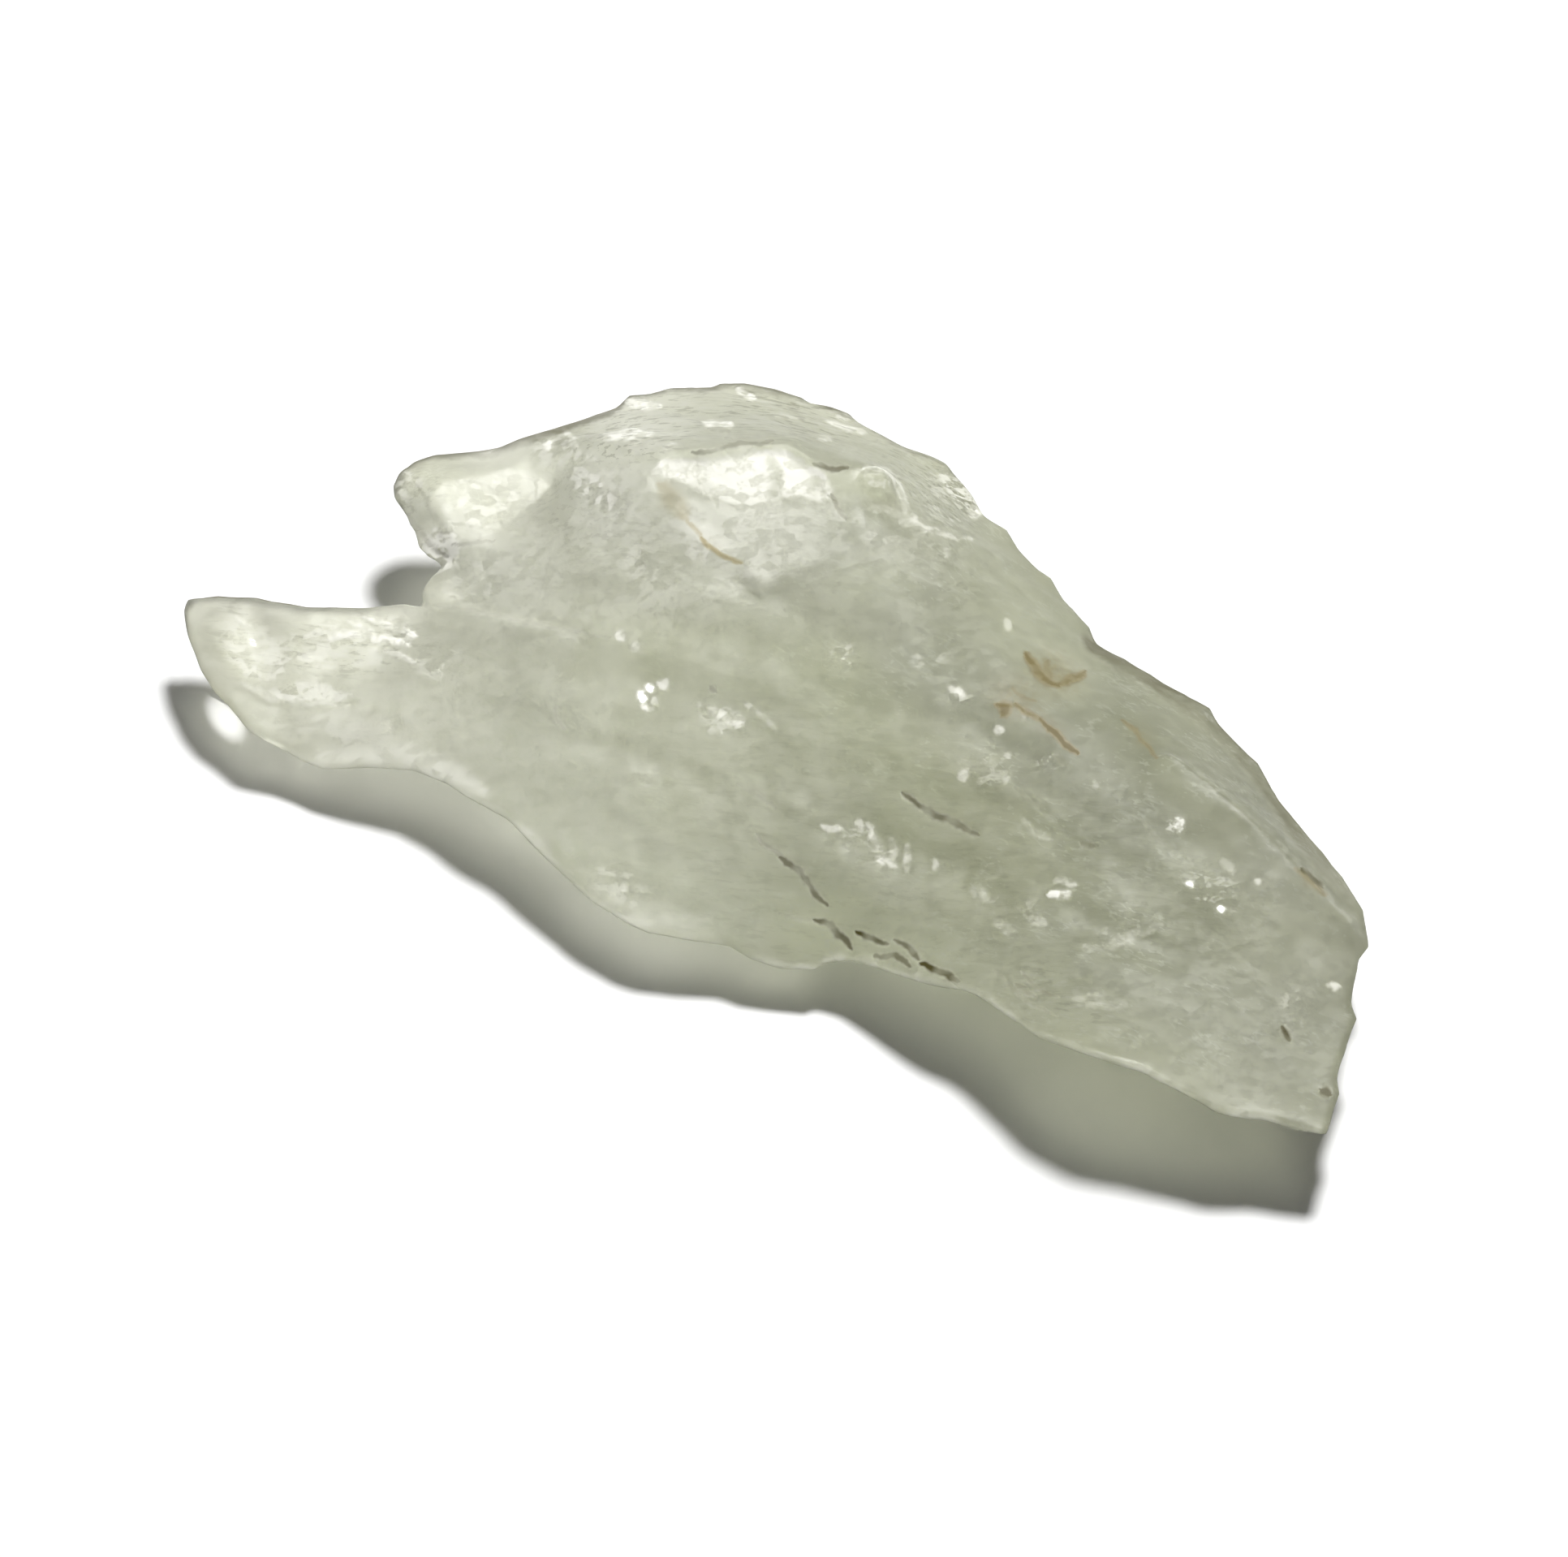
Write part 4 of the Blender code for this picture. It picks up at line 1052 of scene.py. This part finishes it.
clearness = spread(shade, 0.0, 1.0, CLEAR, VEILED)
for share, loss in [(milk_and_highlight_share, 0.6), (crumbs, 0.5), (rusty, 0.5), (mark("crack_and_shade"), 0.7)]:
    clearness = math("SUBTRACT", clearness, math("MULTIPLY", share, loss))
clearness = math("ADD", clearness, math("MULTIPLY", mark("window"), 0.4), True)
join(clearness, surface.inputs["Transmission Weight"])
dullness = spread(unevenness, 0.32, 0.68, 0.57, 0.48)
dullness = math("SUBTRACT", dullness, math("MULTIPLY", mark("gloss"), 0.36))
join(dullness, surface.inputs["Roughness"])
surface.inputs["IOR"].default_value = QUARTZ_IOR
surface.inputs["Specular IOR Level"].default_value = 0.2
haze = nodes.new("ShaderNodeVolumeAbsorption")
haze.inputs["Color"].default_value = (0.62, 0.66, 0.48, 1.0)
haze.inputs["Density"].default_value = 60.0
join(haze.outputs["Volume"], nodes["Material Output"].inputs["Volume"])
mesh.materials.append(crystal)
print("quartz material:", len(nodes), "nodes")

# %% [markdown]
# ## A white table
#
# The stone lies on plain white paper.  The paper matters to the stone as well: most of
# the light that comes up through the crystal has come back from it.

# %% Floor
FLOOR_DROP = 0.05         # keeps the paper clear of the resting facet, in mm
FLOOR_HALF = 1.5          # half its side, in metres

floor_shape = bmesh.new()
bmesh.ops.create_grid(floor_shape, x_segments=1, y_segments=1, size=FLOOR_HALF)
bmesh.ops.translate(floor_shape, vec=(0, 0, -FLOOR_DROP * MM), verts=floor_shape.verts)
floor_mesh = bpy.data.meshes.new("floor")
floor_shape.to_mesh(floor_mesh)
floor_shape.free()
floor = bpy.data.objects.new("floor", floor_mesh)
bpy.context.scene.collection.objects.link(floor)
paper = bpy.data.materials.new("white_paper")
paper.use_nodes = True
sheet = paper.node_tree.nodes["Principled BSDF"]
sheet.inputs["Base Color"].default_value = (0.9, 0.9, 0.9, 1)
sheet.inputs["Roughness"].default_value = 0.8
sheet.inputs["Specular IOR Level"].default_value = 0.2
floor_mesh.materials.append(paper)
print("paper:", 2 * FLOOR_HALF, "m wide")

# %% [markdown]
# ## One soft lamp and a dim room
#
# A round lamp almost overhead gives the short soft shadow in front of the stone.  Its
# width as seen from the stone, eleven degrees, sets how soft the shadow's edge is.

# %% Lamp
LIGHT_FROM = Vector((*LIGHT_LEAN, 1.0)).normalized()
KEY_DISTANCE = 0.4
KEY_ANGLE = 11.0
KEY_WIDTH = 2 * KEY_DISTANCE * tan(radians(KEY_ANGLE / 2))
KEY_POWER = 2.05

middle = to_model @ Vector((0, -4, 3))
key_data = bpy.data.lights.new("softbox", "AREA")
key_data.shape = "DISK"
key_data.size = KEY_WIDTH
key_data.energy = KEY_POWER
key = bpy.data.objects.new("softbox", key_data)
direction = turn @ LIGHT_FROM
key.location = middle * MM + direction * KEY_DISTANCE
key.rotation_euler = direction.to_track_quat("Z", "Y").to_euler()
bpy.context.scene.collection.objects.link(key)
print("lamp:", round(KEY_WIDTH * 1000, 1), "mm wide")

# %% [markdown]
# The clear tip of the lower prong works as a small lens and gathers the lamp's light into
# a bright patch on the paper.  Such gathered light is slow and grainy to render, so a
# narrow lamp low in front shines in under the edge and puts the patch there.

# %% The bright patch by the prong
SPOT_AT = Vector((-21.3, 1.7, 0.0))
SPOT_FROM = Vector((0.39, -0.77, 0.5)).normalized()
SPOT_DISTANCE = 0.085
SPOT_ANGLE = 1.0
SPOT_POWER = 0.42

spot_data = bpy.data.lights.new("caught_light", "SPOT")
spot_data.spot_size = radians(SPOT_ANGLE)
spot_data.spot_blend = 1.0
spot_data.shadow_soft_size = 0.0
spot_data.energy = SPOT_POWER
caught = bpy.data.objects.new("caught_light", spot_data)
caught.location = (to_model @ SPOT_AT) * MM + (turn @ SPOT_FROM) * SPOT_DISTANCE
caught.rotation_euler = (turn @ SPOT_FROM).to_track_quat("Z", "Y").to_euler()
bpy.context.scene.collection.objects.link(caught)
print("patch of light:", round(SPOT_DISTANCE * 1000 * tan(radians(SPOT_ANGLE)), 1), "mm across")

# %% [markdown]
# A dim white room fills the shadow a little.  The Standard view keeps the white of the
# paper white; a film-like one would turn it grey.

# %% The room
ROOM_STRENGTH = 0.10

world = bpy.data.worlds.new("room")
world.use_nodes = True
world.node_tree.nodes["Background"].inputs["Color"].default_value = (1.0, 1.0, 1.0, 1.0)
world.node_tree.nodes["Background"].inputs["Strength"].default_value = ROOM_STRENGTH
bpy.context.scene.world = world
bpy.context.scene.view_settings.view_transform = "Standard"
print("room strength:", ROOM_STRENGTH)

# %% [markdown]
# ## The eye
#
# The camera looks down at 53 degrees from far off with a long lens, so the stone keeps
# its true proportions.

# %% Camera
SEEN_WIDTH = 60.375       # how wide the view is where it aims, in mm
CAMERA_DISTANCE = 1.5
SENSOR = 36.0
AIM_AT = Vector((0.1875, -1.133, 0.0))

aim = (to_model @ AIM_AT) * MM
back = turn @ TO_EYE
eye_data = bpy.data.cameras.new("camera")
eye_data.sensor_width = SENSOR
eye_data.lens = SENSOR * CAMERA_DISTANCE / (SEEN_WIDTH * MM)
eye_data.clip_end = 10.0
eye = bpy.data.objects.new("camera", eye_data)
eye.location = aim + back * CAMERA_DISTANCE
eye.rotation_euler = back.to_track_quat("Z", "Y").to_euler()
bpy.context.scene.collection.objects.link(eye)
bpy.context.scene.camera = eye
print("lens:", round(eye_data.lens), "mm")
